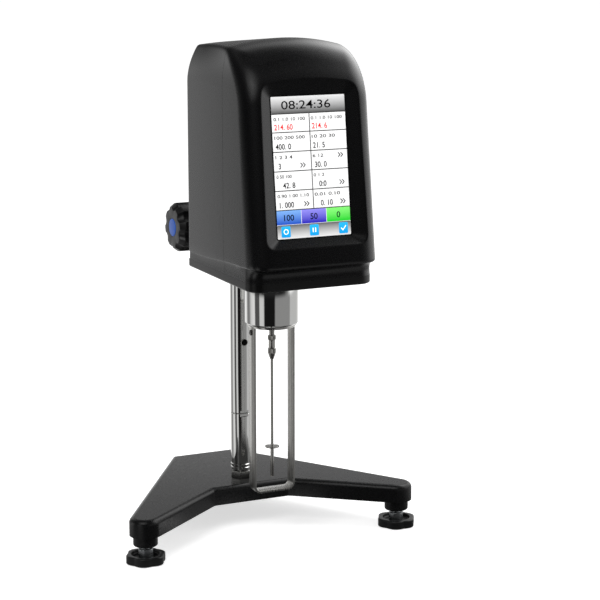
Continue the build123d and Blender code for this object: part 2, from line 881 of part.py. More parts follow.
with BuildPart() as housing:
    add(outer_form)
    add(inner_form, mode=Mode.SUBTRACT)
    # neck under the shell: drawn in between the shell's lower edge and the skirt
    with BuildPart(mode=Mode.PRIVATE) as neck:
        middle_z = (cove_bottom + shell_bottom) / 2
        add(plan_sheet(cove_bottom, skirt_half - 0.4, skirt_front_y + 0.4, skirt_corner_r, head_rear_y))
        add(plan_sheet(middle_z, skirt_half - cove_inset, skirt_front_y + cove_inset, skirt_corner_r,
                       head_rear_y))
        add(plan_sheet(shell_bottom + wall, skirt_half - skirt_rear_draw, skirt_front_y, skirt_corner_r,
                       head_rear_y))
        loft()
    add(neck.part)
    add(plan_sheet(cove_bottom, neck_half, neck_front_y, neck_r, inner_rear_y))
    extrude(amount=shell_bottom + wall - cove_bottom, mode=Mode.SUBTRACT)
    # display recess: bevelled walls down to a flat floor with the display window
    with BuildPart(mode=Mode.PRIVATE) as recess:
        add(recess_sheet(0, floor_half_w, floor_half_h, floor_half_h, 2.5, 3.0, 0.3))
        add(recess_sheet(recess_depth, recess_half_w, recess_low, recess_high,
                         recess_corner_low, recess_corner_high, recess_crown))
        loft()
    add(recess.part, mode=Mode.SUBTRACT)
    add(recess_sheet(recess_depth, recess_half_w, recess_low, recess_high,
                     recess_corner_low, recess_corner_high, recess_crown))
    extrude(amount=recess_cut_spare, mode=Mode.SUBTRACT)
    with BuildSketch(screen_plane):
        RectangleRounded(window_w, window_h, screen_corner_r)
    extrude(amount=-floor_thick - 2.0, mode=Mode.SUBTRACT)
    # openings in the back for the inlet, the switch, the port and the probe socket
    with BuildSketch(Plane.XZ.offset(-inner_rear_y + 1.0)):
        with Locations((inlet_x, inlet_z)):
            Rectangle(inlet_w, inlet_h)
        with Locations((switch_x, inlet_z)):
            Rectangle(switch_w, switch_h)
        with Locations((inlet_x, port_z)):
            Rectangle(port_w, port_h)
        with Locations((switch_x, port_z)):
            Circle(probe_r)
    extrude(amount=-wall - 2.0, mode=Mode.SUBTRACT)
    # bolt holes for the slide block
    with BuildSketch(Plane.XZ.offset(-inner_rear_y + 1.0)):
        with Locations((0, bolt_z)):
            with GridLocations(bolt_grid_x, bolt_grid_z, 2, 2):
                Circle(bolt_r + slip_fit)
    extrude(amount=-wall - 2.0, mode=Mode.SUBTRACT)

parting = Plane.XZ.offset(-parting_y)
with BuildPart() as front_shell:
    add(split(housing.part, bisect_by=parting, keep=Keep.TOP))
save(front_shell, "front_shell")

with BuildPart() as rear_shell:
    add(split(housing.part, bisect_by=parting, keep=Keep.BOTTOM))
save(rear_shell, "rear_shell")

with BuildPart() as skirt:
    add(plan_sheet(skirt_bottom, skirt_half, skirt_front_y, skirt_corner_r, head_rear_y))
    extrude(amount=cove_bottom - skirt_bottom)
    fillet(skirt.faces().sort_by(Axis.Z)[0].outer_wire().edges(), skirt_edge_r)
    with BuildSketch(Plane.XY.offset(skirt_bottom)):
        with Locations((0, axis_y)):
            Circle(bearing_r + 1.0)
    extrude(amount=cove_bottom - skirt_bottom, mode=Mode.SUBTRACT)
save(skirt, "skirt_plate")

skirt_screw_x = skirt_half - skirt_screw_inset
skirt_screw_y = (skirt_front_y + skirt_screw_front_inset, head_rear_y - skirt_screw_inset)
with BuildPart() as skirt_screws:
    with BuildSketch(Plane.XY.offset(skirt_bottom)):
        with Locations(*[(side * skirt_screw_x, y) for side in (-1, 1) for y in skirt_screw_y]):
            Circle(skirt_screw_r)
    extrude(amount=-skirt_screw_height)
    fillet(skirt_screws.edges().group_by(Axis.Z)[0], 0.7)
save(skirt_screws, "skirt_screws")

with BuildPart() as head_bolts:
    with BuildSketch(Plane.XZ.offset(-inner_rear_y)):
        with Locations((0, bolt_z)):
            with GridLocations(bolt_grid_x, bolt_grid_z, 2, 2):
                Circle(bolt_r * bolt_head)
    extrude(amount=bolt_r * 2)
    with BuildSketch(Plane.XZ.offset(-inner_rear_y)):
        with Locations((0, bolt_z)):
            with GridLocations(bolt_grid_x, bolt_grid_z, 2, 2):
                Circle(bolt_r)
    extrude(amount=-wall - bolt_depth)
save(head_bolts, "head_bolts")

# ---------------------------------------------------------------- display and electronics
with BuildPart() as glass:
    with BuildSketch(screen_plane.offset(-glass_inset)):
        RectangleRounded(window_w, window_h, screen_corner_r)
    extrude(amount=glass_inset - floor_thick)
save(glass, "touch_glass")

with BuildPart() as panel:
    with BuildSketch(screen_plane.offset(-floor_thick)):
        RectangleRounded(panel_w, panel_h, panel_corner_r)
    extrude(amount=-panel_thick)
save(panel, "display_panel")

with BuildPart() as board:
    with BuildSketch(screen_plane.offset(-board_gap)):
        Rectangle(board_w, board_h)
        with GridLocations(2 * post_x, 2 * post_y, 2, 2):
            Circle(screw_hole_r, mode=Mode.SUBTRACT)
    extrude(amount=-board_thick)
save(board, "main_board")

with BuildPart() as posts:
    with BuildSketch(screen_plane.offset(-floor_thick)):
        with GridLocations(2 * post_x, 2 * post_y, 2, 2):
            Circle(post_r)
    extrude(amount=floor_thick - board_gap)
    with BuildSketch(Plane.XZ.offset(-inner_rear_y)):
        with Locations((0, (power_low + power_high) / 2)):
            with GridLocations(board_w - 2 * power_post_inset,
                               power_high - power_low - 2 * power_post_inset, 2, 2):
                Circle(post_r)
    extrude(amount=power_gap)
save(posts, "board_posts")

# ---------------------------------------------------------------- drive train on the chassis
chassis_thick = 4.0
chassis_play = 1.0
housing_r = 19.0
housing_height = 22.0
housing_chamfer = 1.5
pillar_height = 48.0
pillar_span_x = 52.0
pillar_span_y = 44.0
motor_pillar_r = 3.5
motor_plate_rim = 5.0
motor_plate_thick = 3.0
motor_plate_corner_r = 4.0
motor_size = 42.0
motor_height = 38.0
motor_chamfer = 4.0
drive_r = 2.5
drive_end_play = 1.0
coupler_r = 7.0
coupler_length = 17.0
coupler_hold = 4.0  # measuring shaft inside the coupler
coupler_play = 2.0
chassis_top = cove_bottom + chassis_thick
pillar_top = chassis_top + pillar_height
coupler_high = pillar_top - drive_end_play
coupler_low = coupler_high - coupler_length
shaft_top = coupler_low + coupler_hold
with BuildPart() as chassis:
    add(plan_sheet(cove_bottom, neck_half - chassis_play, neck_front_y + chassis_play, neck_r,
                   inner_rear_y - chassis_play))
    extrude(amount=chassis_thick)
    with BuildSketch(Plane.XY.offset(cove_bottom)):
        with Locations((0, axis_y)):
            Circle(bearing_r + 1.0)
    extrude(amount=chassis_thick, mode=Mode.SUBTRACT)
save(chassis, "chassis")

with BuildPart() as bearing_housing:
    with BuildSketch(Plane.XY.offset(chassis_top)):
        with Locations((0, axis_y)):
            Circle(housing_r)
    extrude(amount=housing_height)
    chamfer(bearing_housing.edges().group_by(Axis.Z)[-1], housing_chamfer)
    with BuildSketch(Plane.XY.offset(chassis_top)):
        with Locations((0, axis_y)):
            Circle(bearing_r)
    extrude(amount=housing_height, mode=Mode.SUBTRACT)
save(bearing_housing, "bearing_housing")

bearing_lows = {"lower": chassis_top, "upper": chassis_top + housing_height - bearing_height}
for bearing_name, bearing_low in bearing_lows.items():
    with BuildPart() as bearing:
        with BuildSketch(Plane.XY.offset(bearing_low)):
            with Locations((0, axis_y)):
                Circle(bearing_r)
                Circle(shaft_r + running_fit, mode=Mode.SUBTRACT)
        extrude(amount=bearing_height)
    save(bearing, f"{bearing_name}_bearing")

with BuildPart() as pillars:
    with BuildSketch(Plane.XY.offset(chassis_top)):
        with Locations((0, axis_y)):
            with GridLocations(pillar_span_x, pillar_span_y, 2, 2):
                Circle(motor_pillar_r)
    extrude(amount=pillar_height)
save(pillars, "motor_pillars")

with BuildPart() as motor_plate:
    with BuildSketch(Plane.XY.offset(pillar_top)):
        with Locations((0, axis_y)):
            RectangleRounded(pillar_span_x + 2 * motor_plate_rim, pillar_span_y + 2 * motor_plate_rim,
                             motor_plate_corner_r)
            Circle(coupler_r + coupler_play, mode=Mode.SUBTRACT)
    extrude(amount=motor_plate_thick)
save(motor_plate, "motor_plate")

motor_low = pillar_top + motor_plate_thick
with BuildPart() as motor:
    with BuildSketch(Plane.XY.offset(motor_low)):
        with Locations((0, axis_y)):
            Rectangle(motor_size, motor_size)
    extrude(amount=motor_height)
    chamfer(motor.edges().filter_by(Axis.Z), motor_chamfer)
    with BuildSketch(Plane.XY.offset(motor_low)):
        with Locations((0, axis_y)):
            Circle(drive_r + running_fit)
    extrude(amount=motor_height / 2, mode=Mode.SUBTRACT)
save(motor, "drive_motor")

with BuildPart() as motor_shaft:
    with BuildSketch(Plane.XY.offset(shaft_top)):
        with Locations((0, axis_y)):
            Circle(drive_r)
    extrude(amount=motor_low + motor_height / 2 - drive_end_play - shaft_top)
save(motor_shaft, "motor_shaft")

with BuildPart() as coupler:
    with BuildSketch(Plane.XY.offset(coupler_low)):
        with Locations((0, axis_y)):
            Circle(coupler_r)
    extrude(amount=coupler_length)
    with BuildSketch(Plane.XY.offset(coupler_low)):
        with Locations((0, axis_y)):
            Circle(shaft_r)
    extrude(amount=shaft_top - coupler_low, mode=Mode.SUBTRACT)
    with BuildSketch(Plane.XY.offset(shaft_top)):
        with Locations((0, axis_y)):
            Circle(drive_r)
    extrude(amount=pillar_top - shaft_top, mode=Mode.SUBTRACT)
save(coupler, "spring_coupler")

# ---------------------------------------------------------------- cup, collar and guard
measuring_axis = Axis((0, axis_y, 0), (0, 0, 1))
with BuildPart() as cup:
    with BuildSketch(Plane.YZ):
        with BuildLine():
            Polyline(
                (axis_y + cup_r - cup_wall, skirt_bottom),
                (axis_y + cup_r, skirt_bottom),
                (axis_y + cup_r, cup_bottom + cup_chamfer),
                (axis_y + cup_r - cup_chamfer, cup_bottom),
                (axis_y + bearing_r, cup_bottom),
                (axis_y + bearing_r, cup_bottom + cup_wall),
                (axis_y + cup_r - cup_wall, cup_bottom + cup_wall),
                close=True,
            )
        make_face()
    revolve(axis=measuring_axis)
save(cup, "cup")

with BuildPart() as collar:
    with BuildSketch(Plane.YZ):
        with BuildLine():
            Polyline(
                (axis_y + spindle_bush_r, cup_bottom + cup_wall),
                (axis_y + bearing_r, cup_bottom + cup_wall),
                (axis_y + bearing_r, cup_bottom),
                (axis_y + cup_step_r, cup_bottom),
                (axis_y + cup_step_r, cup_bottom - cup_step),
                (axis_y + collar_r, cup_bottom - cup_step),
                (axis_y + collar_r, collar_bottom + collar_chamfer),
                (axis_y + collar_r - collar_chamfer, collar_bottom),
                (axis_y + spindle_bush_r, collar_bottom),
                close=True,
            )
        make_face()
    revolve(axis=measuring_axis)
save(collar, "guard_collar")

with BuildPart() as spindle_bush:
    with BuildSketch(Plane.XY.offset(collar_bottom)):
        with Locations((0, axis_y)):
            Circle(spindle_bush_r)
            Circle(shaft_r + running_fit, mode=Mode.SUBTRACT)
    extrude(amount=cup_bottom + cup_wall - collar_bottom)
save(spindle_bush, "spindle_bush")

with BuildPart() as guard:
    with BuildSketch(Plane.XZ.offset(-axis_y)):
        with BuildLine():
            FilletPolyline(
                (-guard_half, guard_top),
                (-guard_half, guard_low),
                (guard_half, guard_low),
                (guard_half, guard_top),
                radius=guard_corner_r,
            )
            Line((guard_half, guard_top), (guard_half - guard_thick, guard_top))
            FilletPolyline(
                (guard_half - guard_thick, guard_top),
                (guard_half - guard_thick, guard_low + guard_thick),
                (guard_thick - guard_half, guard_low + guard_thick),
                (guard_thick - guard_half, guard_top),
                radius=guard_corner_r - guard_thick,
            )
            Line((guard_thick - guard_half, guard_top), (-guard_half, guard_top))
        make_face()
    extrude(amount=guard_width / 2, both=True)
save(guard, "spindle_guard")

with BuildPart() as guard_screws:
    for side in (-1, 1):
        with BuildSketch(Plane.YZ.offset(side * guard_half)):
            with Locations((axis_y, guard_screw_z)):
                Circle(guard_screw_head_r)
        extrude(amount=side * guard_screw_height)
    fillet(guard_screws.edges().group_by(Axis.X)[0] + guard_screws.edges().group_by(Axis.X)[-1], 0.6)
save(guard_screws, "guard_screws")

# ---------------------------------------------------------------- measuring spindle
shaft_low = coupling_low + shaft_hold
upper_band = coupling_top - coupling_band
lower_band = coupling_low + coupling_band_rise
with BuildPart() as drive_shaft:
    with BuildSketch(Plane.XY.offset(shaft_low)):
        with Locations((0, axis_y)):
            Circle(shaft_r)
    extrude(amount=shaft_top - shaft_low)
save(drive_shaft, "drive_shaft")

with BuildPart() as spindle_coupling:
    with BuildSketch(Plane.YZ):
        with BuildLine():
            Polyline(
                (axis_y + shaft_r, coupling_top),
                (axis_y + coupling_band_r - coupling_edge, coupling_top),
                (axis_y + coupling_band_r, coupling_top - coupling_edge),
                (axis_y + coupling_band_r, upper_band),
                (axis_y + coupling_r, upper_band - coupling_edge),
                (axis_y + coupling_r, lower_band + coupling_band + 2 * coupling_edge),
                (axis_y + coupling_band_r, lower_band + coupling_band + coupling_edge),
                (axis_y + coupling_band_r, lower_band),
                (axis_y + rod_r + coupling_edge / 2, coupling_low),
                (axis_y, coupling_low),
                (axis_y, shaft_low),
                (axis_y + shaft_r, shaft_low),
                close=True,
            )
        make_face()
    revolve(axis=measuring_axis)
save(spindle_coupling, "spindle_coupling")

with BuildPart() as rod:
    with BuildSketch(Plane.YZ):
        with BuildLine():
            Line((axis_y, spindle_end), (axis_y, coupling_low))
            Line((axis_y, coupling_low), (axis_y + rod_r, coupling_low))
            Line((axis_y + rod_r, coupling_low), (axis_y + rod_r, disc_z - disc_thick / 2))
            Line((axis_y + rod_r, disc_z - disc_thick / 2), (axis_y + tail_r, disc_z - disc_thick / 2))
            Line((axis_y + tail_r, disc_z - disc_thick / 2), (axis_y + tail_r, spindle_end + tail_r))
            RadiusArc((axis_y + tail_r, spindle_end + tail_r), (axis_y, spindle_end), tail_r)
        make_face()
    revolve(axis=measuring_axis)
save(rod, "spindle_rod")

with BuildPart() as disc:
    with BuildSketch(Plane.XY.offset(disc_z - disc_thick / 2)):
        with Locations((0, axis_y)):
            Circle(disc_r)
            Circle(rod_r, mode=Mode.SUBTRACT)
    extrude(amount=disc_thick)
save(disc, "spindle_disc")

# ---------------------------------------------------------------- connections at the back
with BuildPart() as inlet:
    with BuildSketch(Plane.XZ.offset(-head_rear_y + inlet_depth)):
        with Locations((inlet_x, inlet_z)):
            Rectangle(inlet_w, inlet_h)
    extrude(amount=-inlet_depth)
    with BuildSketch(Plane.XZ.offset(-head_rear_y)):
        with Locations((inlet_x, inlet_z)):
            Rectangle(inlet_w + 2 * flange_lip, inlet_h + 2 * flange_lip)
    extrude(amount=-flange_thick)
    with BuildSketch(Plane.XZ.offset(-head_rear_y - flange_thick)):
        with Locations((inlet_x, inlet_z)):
            RectangleRounded(inlet_w - 2 * inlet_rim, inlet_h - 2 * inlet_rim, inlet_corner_r)
    extrude(amount=inlet_depth + flange_thick - inlet_floor, mode=Mode.SUBTRACT)
save(inlet, "power_inlet")

with BuildPart() as pins:
    with BuildSketch(Plane.XZ.offset(-head_rear_y + inlet_depth - inlet_floor)):
        with Locations(
            (inlet_x - pin_pitch, inlet_z - pin_drop),
            (inlet_x, inlet_z + pin_rise),
            (inlet_x + pin_pitch, inlet_z - pin_drop),
        ):
            Rectangle(pin_w, pin_h)
    extrude(amount=-pin_length)
save(pins, "inlet_pins")

rocker_pivot_y = head_rear_y - rocker_sink
with BuildPart() as switch_frame:
    with BuildSketch(Plane.XZ.offset(-head_rear_y + switch_depth)):
        with Locations((switch_x, inlet_z)):
            Rectangle(switch_w, switch_h)
    extrude(amount=-switch_depth)
    with BuildSketch(Plane.XZ.offset(-head_rear_y)):
        with Locations((switch_x, inlet_z)):
            Rectangle(switch_w + 2 * flange_lip, switch_h + 2 * flange_lip)
    extrude(amount=-flange_thick)
    with BuildSketch(Plane.XZ.offset(-head_rear_y - flange_thick)):
        with Locations((switch_x, inlet_z)):
            Rectangle(switch_w - 2 * switch_rim_w, switch_h - 2 * switch_rim_h)
    extrude(amount=switch_depth + flange_thick - switch_floor, mode=Mode.SUBTRACT)
save(switch_frame, "switch_frame")

rocker_plane = Plane(
    origin=(switch_x, rocker_pivot_y, inlet_z),
    x_dir=(0, cos(radians(rocker_tilt)), sin(radians(rocker_tilt))),
    z_dir=(1, 0, 0),
)
with BuildPart() as rocker:
    with BuildSketch(rocker_plane):
        with BuildLine():
            Line((-rocker_back, -rocker_tail), (rocker_lip, -rocker_r))
            ThreePointArc((rocker_lip, -rocker_r), (rocker_crown, 0), (rocker_lip, rocker_r))
            Line((rocker_lip, rocker_r), (-rocker_back, rocker_tail))
            Line((-rocker_back, rocker_tail), (-rocker_back, -rocker_tail))
        make_face()
    extrude(amount=switch_w / 2 - switch_rim_w - air_gap, both=True)
save(rocker, "switch_rocker")

with BuildPart() as port:
    with BuildSketch(Plane.XZ.offset(-head_rear_y + port_depth)):
        with Locations((inlet_x, port_z)):
            Rectangle(port_w, port_h)
    extrude(amount=-port_depth - port_proud)
    with BuildSketch(Plane.XZ.offset(-head_rear_y - port_proud)):
        with Locations((inlet_x, port_z)):
            Rectangle(port_w - 2 * port_rim, port_h - 2 * port_rim)
    extrude(amount=port_depth + port_proud - port_floor, mode=Mode.SUBTRACT)
save(port, "data_port")

with BuildPart() as probe:
    with BuildSketch(Plane.XZ.offset(-head_rear_y + port_depth)):
        with Locations((switch_x, port_z)):
            Circle(probe_r)
    extrude(amount=-port_depth)
    with BuildSketch(Plane.XZ.offset(-head_rear_y)):
        with Locations((switch_x, port_z)):
            Circle(probe_r + probe_lip)
    extrude(amount=-probe_collar)
    with BuildSketch(Plane.XZ.offset(-head_rear_y - probe_collar)):
        with Locations((switch_x, port_z)):
            Circle(probe_r - probe_wall)
    extrude(amount=port_depth + probe_collar - port_floor, mode=Mode.SUBTRACT)
save(probe, "probe_socket")

with BuildPart() as power_board:
    with BuildSketch(Plane.XZ.offset(-inner_rear_y + power_gap)):
        with Locations((0, (power_low + power_high) / 2)):
            Rectangle(board_w, power_high - power_low)
    extrude(amount=board_thick)
save(power_board, "power_board")
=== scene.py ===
"""Looks of a rotational viscometer: touch-screen head, chromed column, cast three-toed base.

Sizes are millimetres in the frame of the solids (+Z up, the display faces -Y). Meshes are handed
to Blender in metres. Every new piece is a surface worked out on a grid of two parameters.
"""

import json
import logging
import math
from collections.abc import Callable, Sequence
from dataclasses import dataclass
from enum import Enum

import bmesh
import bpy
import numpy as np
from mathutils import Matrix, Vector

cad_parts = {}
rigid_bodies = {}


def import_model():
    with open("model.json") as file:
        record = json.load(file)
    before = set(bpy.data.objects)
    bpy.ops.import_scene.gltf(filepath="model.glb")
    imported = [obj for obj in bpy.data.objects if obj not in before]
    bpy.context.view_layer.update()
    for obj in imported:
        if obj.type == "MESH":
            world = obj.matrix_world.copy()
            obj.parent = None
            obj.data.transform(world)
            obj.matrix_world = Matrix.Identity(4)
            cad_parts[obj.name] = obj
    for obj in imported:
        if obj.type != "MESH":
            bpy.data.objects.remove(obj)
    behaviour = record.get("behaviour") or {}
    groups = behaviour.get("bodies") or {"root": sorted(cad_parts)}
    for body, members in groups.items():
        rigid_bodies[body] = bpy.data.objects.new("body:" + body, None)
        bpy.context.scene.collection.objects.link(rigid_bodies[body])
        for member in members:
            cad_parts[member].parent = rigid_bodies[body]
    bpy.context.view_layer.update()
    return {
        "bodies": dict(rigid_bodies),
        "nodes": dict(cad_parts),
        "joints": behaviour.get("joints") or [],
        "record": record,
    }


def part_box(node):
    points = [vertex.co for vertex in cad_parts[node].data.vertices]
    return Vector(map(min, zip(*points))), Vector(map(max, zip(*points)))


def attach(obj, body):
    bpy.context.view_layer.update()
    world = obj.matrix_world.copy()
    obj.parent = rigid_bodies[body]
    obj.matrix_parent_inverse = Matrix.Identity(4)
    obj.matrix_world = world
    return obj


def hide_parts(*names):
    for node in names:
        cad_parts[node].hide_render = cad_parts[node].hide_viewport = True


LOG = logging.getLogger("viscometer")
MM = 0.001
TURN = 2 * math.pi
Corner = tuple[float, float]
Point = tuple[float, float, float]
Array = np.ndarray
Mesh = tuple[Array, Array]  # points (n, 3) in millimetres, quads (m, 4) with -1 for a missing corner


# ------------------------------------------------------------------ nodes and finishes
def linear(shade: str) -> tuple[float, float, float, float]:
    """Turn an sRGB hex value to linear light.

    Args:
        shade: Six hex digits, such as "4d4d4d".

    Returns:
        Red, green, blue and an alpha of 1.
    """
    parts = [int(shade[k:k + 2], 16) / 255 for k in (0, 2, 4)]
    lit = [c / 12.92 if c <= 0.04045 else ((c + 0.055) / 1.055) ** 2.4 for c in parts]
    return (*lit, 1.0)


def feed(tree: bpy.types.NodeTree, node: bpy.types.Node, inputs: dict) -> None:
    """Set or link a node's inputs, by name or number."""
    for key, value in inputs.items():
        if isinstance(value, bpy.types.NodeSocket):
            tree.links.new(value, node.inputs[key])
        else:
            node.inputs[key].default_value = value


def add_node(tree: bpy.types.NodeTree, kind: str, settings: dict | None = None,
             inputs: dict | None = None) -> bpy.types.Node:
    """Add a node with its settings, and set or link its inputs.

    Args:
        tree: The node tree.
        kind: Blender's name of the node type.
        settings: Attributes of the node.
        inputs: Values or output sockets by input name or number.

    Returns:
        The new node.
    """
    node = tree.nodes.new(kind)
    for key, value in (settings or {}).items():
        setattr(node, key, value)
    feed(tree, node, inputs or {})
    return node


def new_material(name: str) -> tuple[bpy.types.Material, bpy.types.NodeTree, bpy.types.Node]:
    """Start a material: the material, its nodes and its surface shader."""
    made = bpy.data.materials.new(name)
    made.use_nodes = True
    return made, made.node_tree, made.node_tree.nodes["Principled BSDF"]


def placed(name: str, data: bpy.types.ID) -> bpy.types.Object:
    """Put data in the scene as an object."""
    thing = bpy.data.objects.new(name, data)
    bpy.context.scene.collection.objects.link(thing)
    return thing


class Make(Enum):
    """How a surface was made, which says the way its fine pattern runs."""

    MOULDED = "even spark-eroded grain"
    PAINTED = "orange peel of stoved paint"
    POLISHED = "faint clouding of a buffed plate"
    DRAWN_UP = "brush lines along Z"
    TURNED = "tool rings about a vertical axis"


# The pattern's stretch along X, Y and Z: 0 along a brush line or round a tool ring
STRETCH = {
    Make.MOULDED: (1, 1, 1),
    Make.PAINTED: (1, 1, 1),
    Make.POLISHED: (1, 1, 1),
    Make.DRAWN_UP: (1, 1, 0.02),
    Make.TURNED: (0.02, 0.02, 1),
}


@dataclass(frozen=True)
class Finish:
    """A real surface: what it is, how it was made and what that gives the eye."""

    name: str
    shade: str
    roughness: float
    make: Make
    pitch: float  # size of the fine pattern in mm
    metallic: float = 0.0
    ior: float = 1.5
    relief: float = 0.0  # height of the pattern in mm
    spread: float = 0.0  # change of roughness over the pattern
    mottle: float = 0.0  # share by which the colour darkens in patches

    def material(self) -> bpy.types.Material:
        """Build the node material, once for each finish.

        Returns:
            The material.
        """
        found = bpy.data.materials.get(self.name)
        if found:
            return found
        made, tree, shader = new_material(self.name)
        feed(tree, shader, {"Base Color": linear(self.shade), "Metallic": self.metallic,
                            "Roughness": self.roughness})
        if not self.metallic:
            feed(tree, shader, {"IOR": self.ior})
        place = add_node(tree, "ShaderNodeTexCoord")
        spot = add_node(tree, "ShaderNodeMapping", None,
                        {"Vector": place.outputs["Object"],
                         "Scale": tuple(s / (self.pitch * MM) for s in STRETCH[self.make])})
        grain = add_node(tree, "ShaderNodeTexNoise", None,
                         {"Vector": spot.outputs[0], "Scale": 1.0, "Detail": 3.0})
        if self.spread:
            rough = add_node(tree, "ShaderNodeMapRange", None,
                             {"Value": grain.outputs["Fac"], "From Min": 0.3, "From Max": 0.7,
                              "To Min": max(self.roughness - self.spread, 0.02),
                              "To Max": self.roughness + self.spread})
            feed(tree, shader, {"Roughness": rough.outputs[0]})
        if self.mottle:
            self.cloud(tree, place.outputs["Object"], shader)
        if self.relief:
            bump = add_node(tree, "ShaderNodeBump", None,
                            {"Height": grain.outputs["Fac"], "Strength": 1.0,
                             "Distance": self.relief * MM})
            feed(tree, shader, {"Normal": bump.outputs[0]})
        return made

    def cloud(self, tree: bpy.types.NodeTree, place: bpy.types.NodeSocket,
              shader: bpy.types.Node) -> None:
        """Darken the colour in broad soft patches, 40 times the fine pattern.

        Args:
            tree: The material's nodes.
            place: Object coordinates.
            shader: The surface shader.
        """
        broad = add_node(tree, "ShaderNodeTexNoise", None,
                         {"Vector": place, "Scale": 1 / (40 * self.pitch * MM), "Detail": 2.0})
        full = linear(self.shade)
        dim = (*(c * (1 - self.mottle) for c in full[:3]), 1.0)
        mixed = add_node(tree, "ShaderNodeMix", {"data_type": "RGBA"},
                         {"Factor": broad.outputs["Fac"], "A": full, "B": dim})
        feed(tree, shader, {"Base Color": mixed.outputs["Result"]})


# Cast iron, stoved satin black paint: a soft sheen, faint orange peel
STOVED_IRON = Finish("stoved_paint_on_cast_iron", "080809", 0.3, Make.PAINTED, 1.6, ior=1.42,
                     relief=0.012, spread=0.05, mottle=0.12)
# ABS moulded in a polished tool: deep black, soft wide highlights
SATIN_ABS = Finish("satin_moulded_abs", "070708", 0.27, Make.MOULDED, 0.5,
                   ior=1.5, relief=0.0008, spread=0.02, mottle=0.05)
# Glass over the display, black from behind
GLASS_BLACK = Finish("black_backed_glass", "060607", 0.06, Make.MOULDED, 4.0, spread=0.01)
# ABS of the foot plate, finely grained
GRAINED_ABS = Finish("grained_moulded_abs", "080808", 0.3, Make.MOULDED, 0.8,
                     ior=1.4, relief=0.002, spread=0.03, mottle=0.08)
# Phenolic knob moulding: charcoal, rubbed dull by hands
PHENOLIC = Finish("moulded_phenolic", "09090a", 0.34, Make.MOULDED, 0.9,
                  ior=1.5, relief=0.008, spread=0.06, mottle=0.15)
# Nylon cap, moulded blue
BLUE_NYLON = Finish("moulded_blue_nylon", "1053b4", 0.35, Make.MOULDED, 0.9,
                    ior=1.53, relief=0.004, spread=0.04, mottle=0.06)
# Steel, ground and plated with bright chrome: mirror with faint clouding
BRIGHT_CHROME = Finish("bright_chrome_plate", "dcdcda", 0.06, Make.POLISHED, 6.0,
                       metallic=1.0, spread=0.03)
# Stainless strip, brushed along its length
BRUSHED_STRIP = Finish("brushed_stainless_strip", "b9b8b4", 0.28, Make.DRAWN_UP, 0.9,
                       metallic=1.0, relief=0.0006, spread=0.04)
# Stainless turned on a lathe: fine tool rings
TURNED_STAINLESS = Finish("turned_stainless", "a9a8a5", 0.24, Make.TURNED, 0.6,
                          metallic=1.0, relief=0.004, spread=0.08)
# Stainless, polished: clear but soft reflections
POLISHED_STEEL = Finish("polished_stainless", "d4d3d0", 0.12, Make.POLISHED, 3.0, metallic=1.0,
                        spread=0.03)
SATIN_STEEL = Finish("satin_turned_steel", "cfceca", 0.17, Make.POLISHED, 2.0, metallic=1.0,
                     spread=0.03)
BRIGHT_STEEL = Finish("fine_turned_stainless", "c2c1bd", 0.2, Make.POLISHED, 2.0, metallic=1.0,
                      spread=0.03)
DARK_STEEL = Finish("blackened_screw_steel", "5c5b59", 0.35, Make.TURNED, 0.8, metallic=1.0,
                    spread=0.06)
# Painted shade: a matt black disc stands in for the dark depth of an open hole
PAINTED_HOLE_SHADE = Finish("painted_hole_shade", "020202", 0.9, Make.MOULDED, 1.0, ior=1.2)
# Screw steel with zinc plate, slightly bluish
ZINC_STEEL = Finish("zinc_plated_steel", "a8abad", 0.32, Make.TURNED, 0.6,
                    metallic=1.0, relief=0.003, spread=0.1)
# Machined aluminium, anodised: pale, silky
ANODISED = Finish("anodised_aluminium", "b4b6b8", 0.38, Make.MOULDED, 0.7,
                  metallic=1.0, relief=0.003, spread=0.08)
DARK_ANODISED = Finish("black_anodised_aluminium", "1e1e20", 0.36, Make.MOULDED, 0.7,
                       metallic=0.6, relief=0.004, spread=0.08)
BRONZE = Finish("sintered_bronze", "a9793a", 0.42, Make.TURNED, 0.7, metallic=1.0,
                relief=0.004, spread=0.1)
BRASS = Finish("turned_brass", "c9a24b", 0.28, Make.TURNED, 0.7, metallic=1.0,
               relief=0.003, spread=0.08)
RUBBER = Finish("moulded_nitrile_rubber", "151515", 0.75, Make.MOULDED, 0.8, relief=0.02,
                spread=0.08, mottle=0.2)
BLACK_NYLON = Finish("moulded_black_nylon", "161617", 0.45, Make.MOULDED, 0.8, relief=0.01,
                     spread=0.06, mottle=0.1)
LAMINATE = Finish("glass_epoxy_laminate", "14502c", 0.45, Make.MOULDED, 0.9, relief=0.004,
                  spread=0.08, mottle=0.2)
ENAMEL = Finish("enamelled_motor_stack", "232325", 0.45, Make.TURNED, 0.6, relief=0.02,
                spread=0.08, mottle=0.1)


# ------------------------------------------------------------------ meshes
def grid_quads(rows: int, columns: int, wrap: bool = False) -> Array:
    """List the quads of a grid whose points are numbered row by row.

    Args:
        rows: Points along the first parameter.
        columns: Points along the second.
        wrap: True if the last column joins the first.

    Returns:
        Quads (m, 4).
    """
    across = np.arange(columns if wrap else columns - 1)
    start = np.arange(rows - 1)[:, None] * columns
    here, there = start + across, start + (across + 1) % columns
    return np.stack([here, there, there + columns, here + columns], -1).reshape(-1, 4)


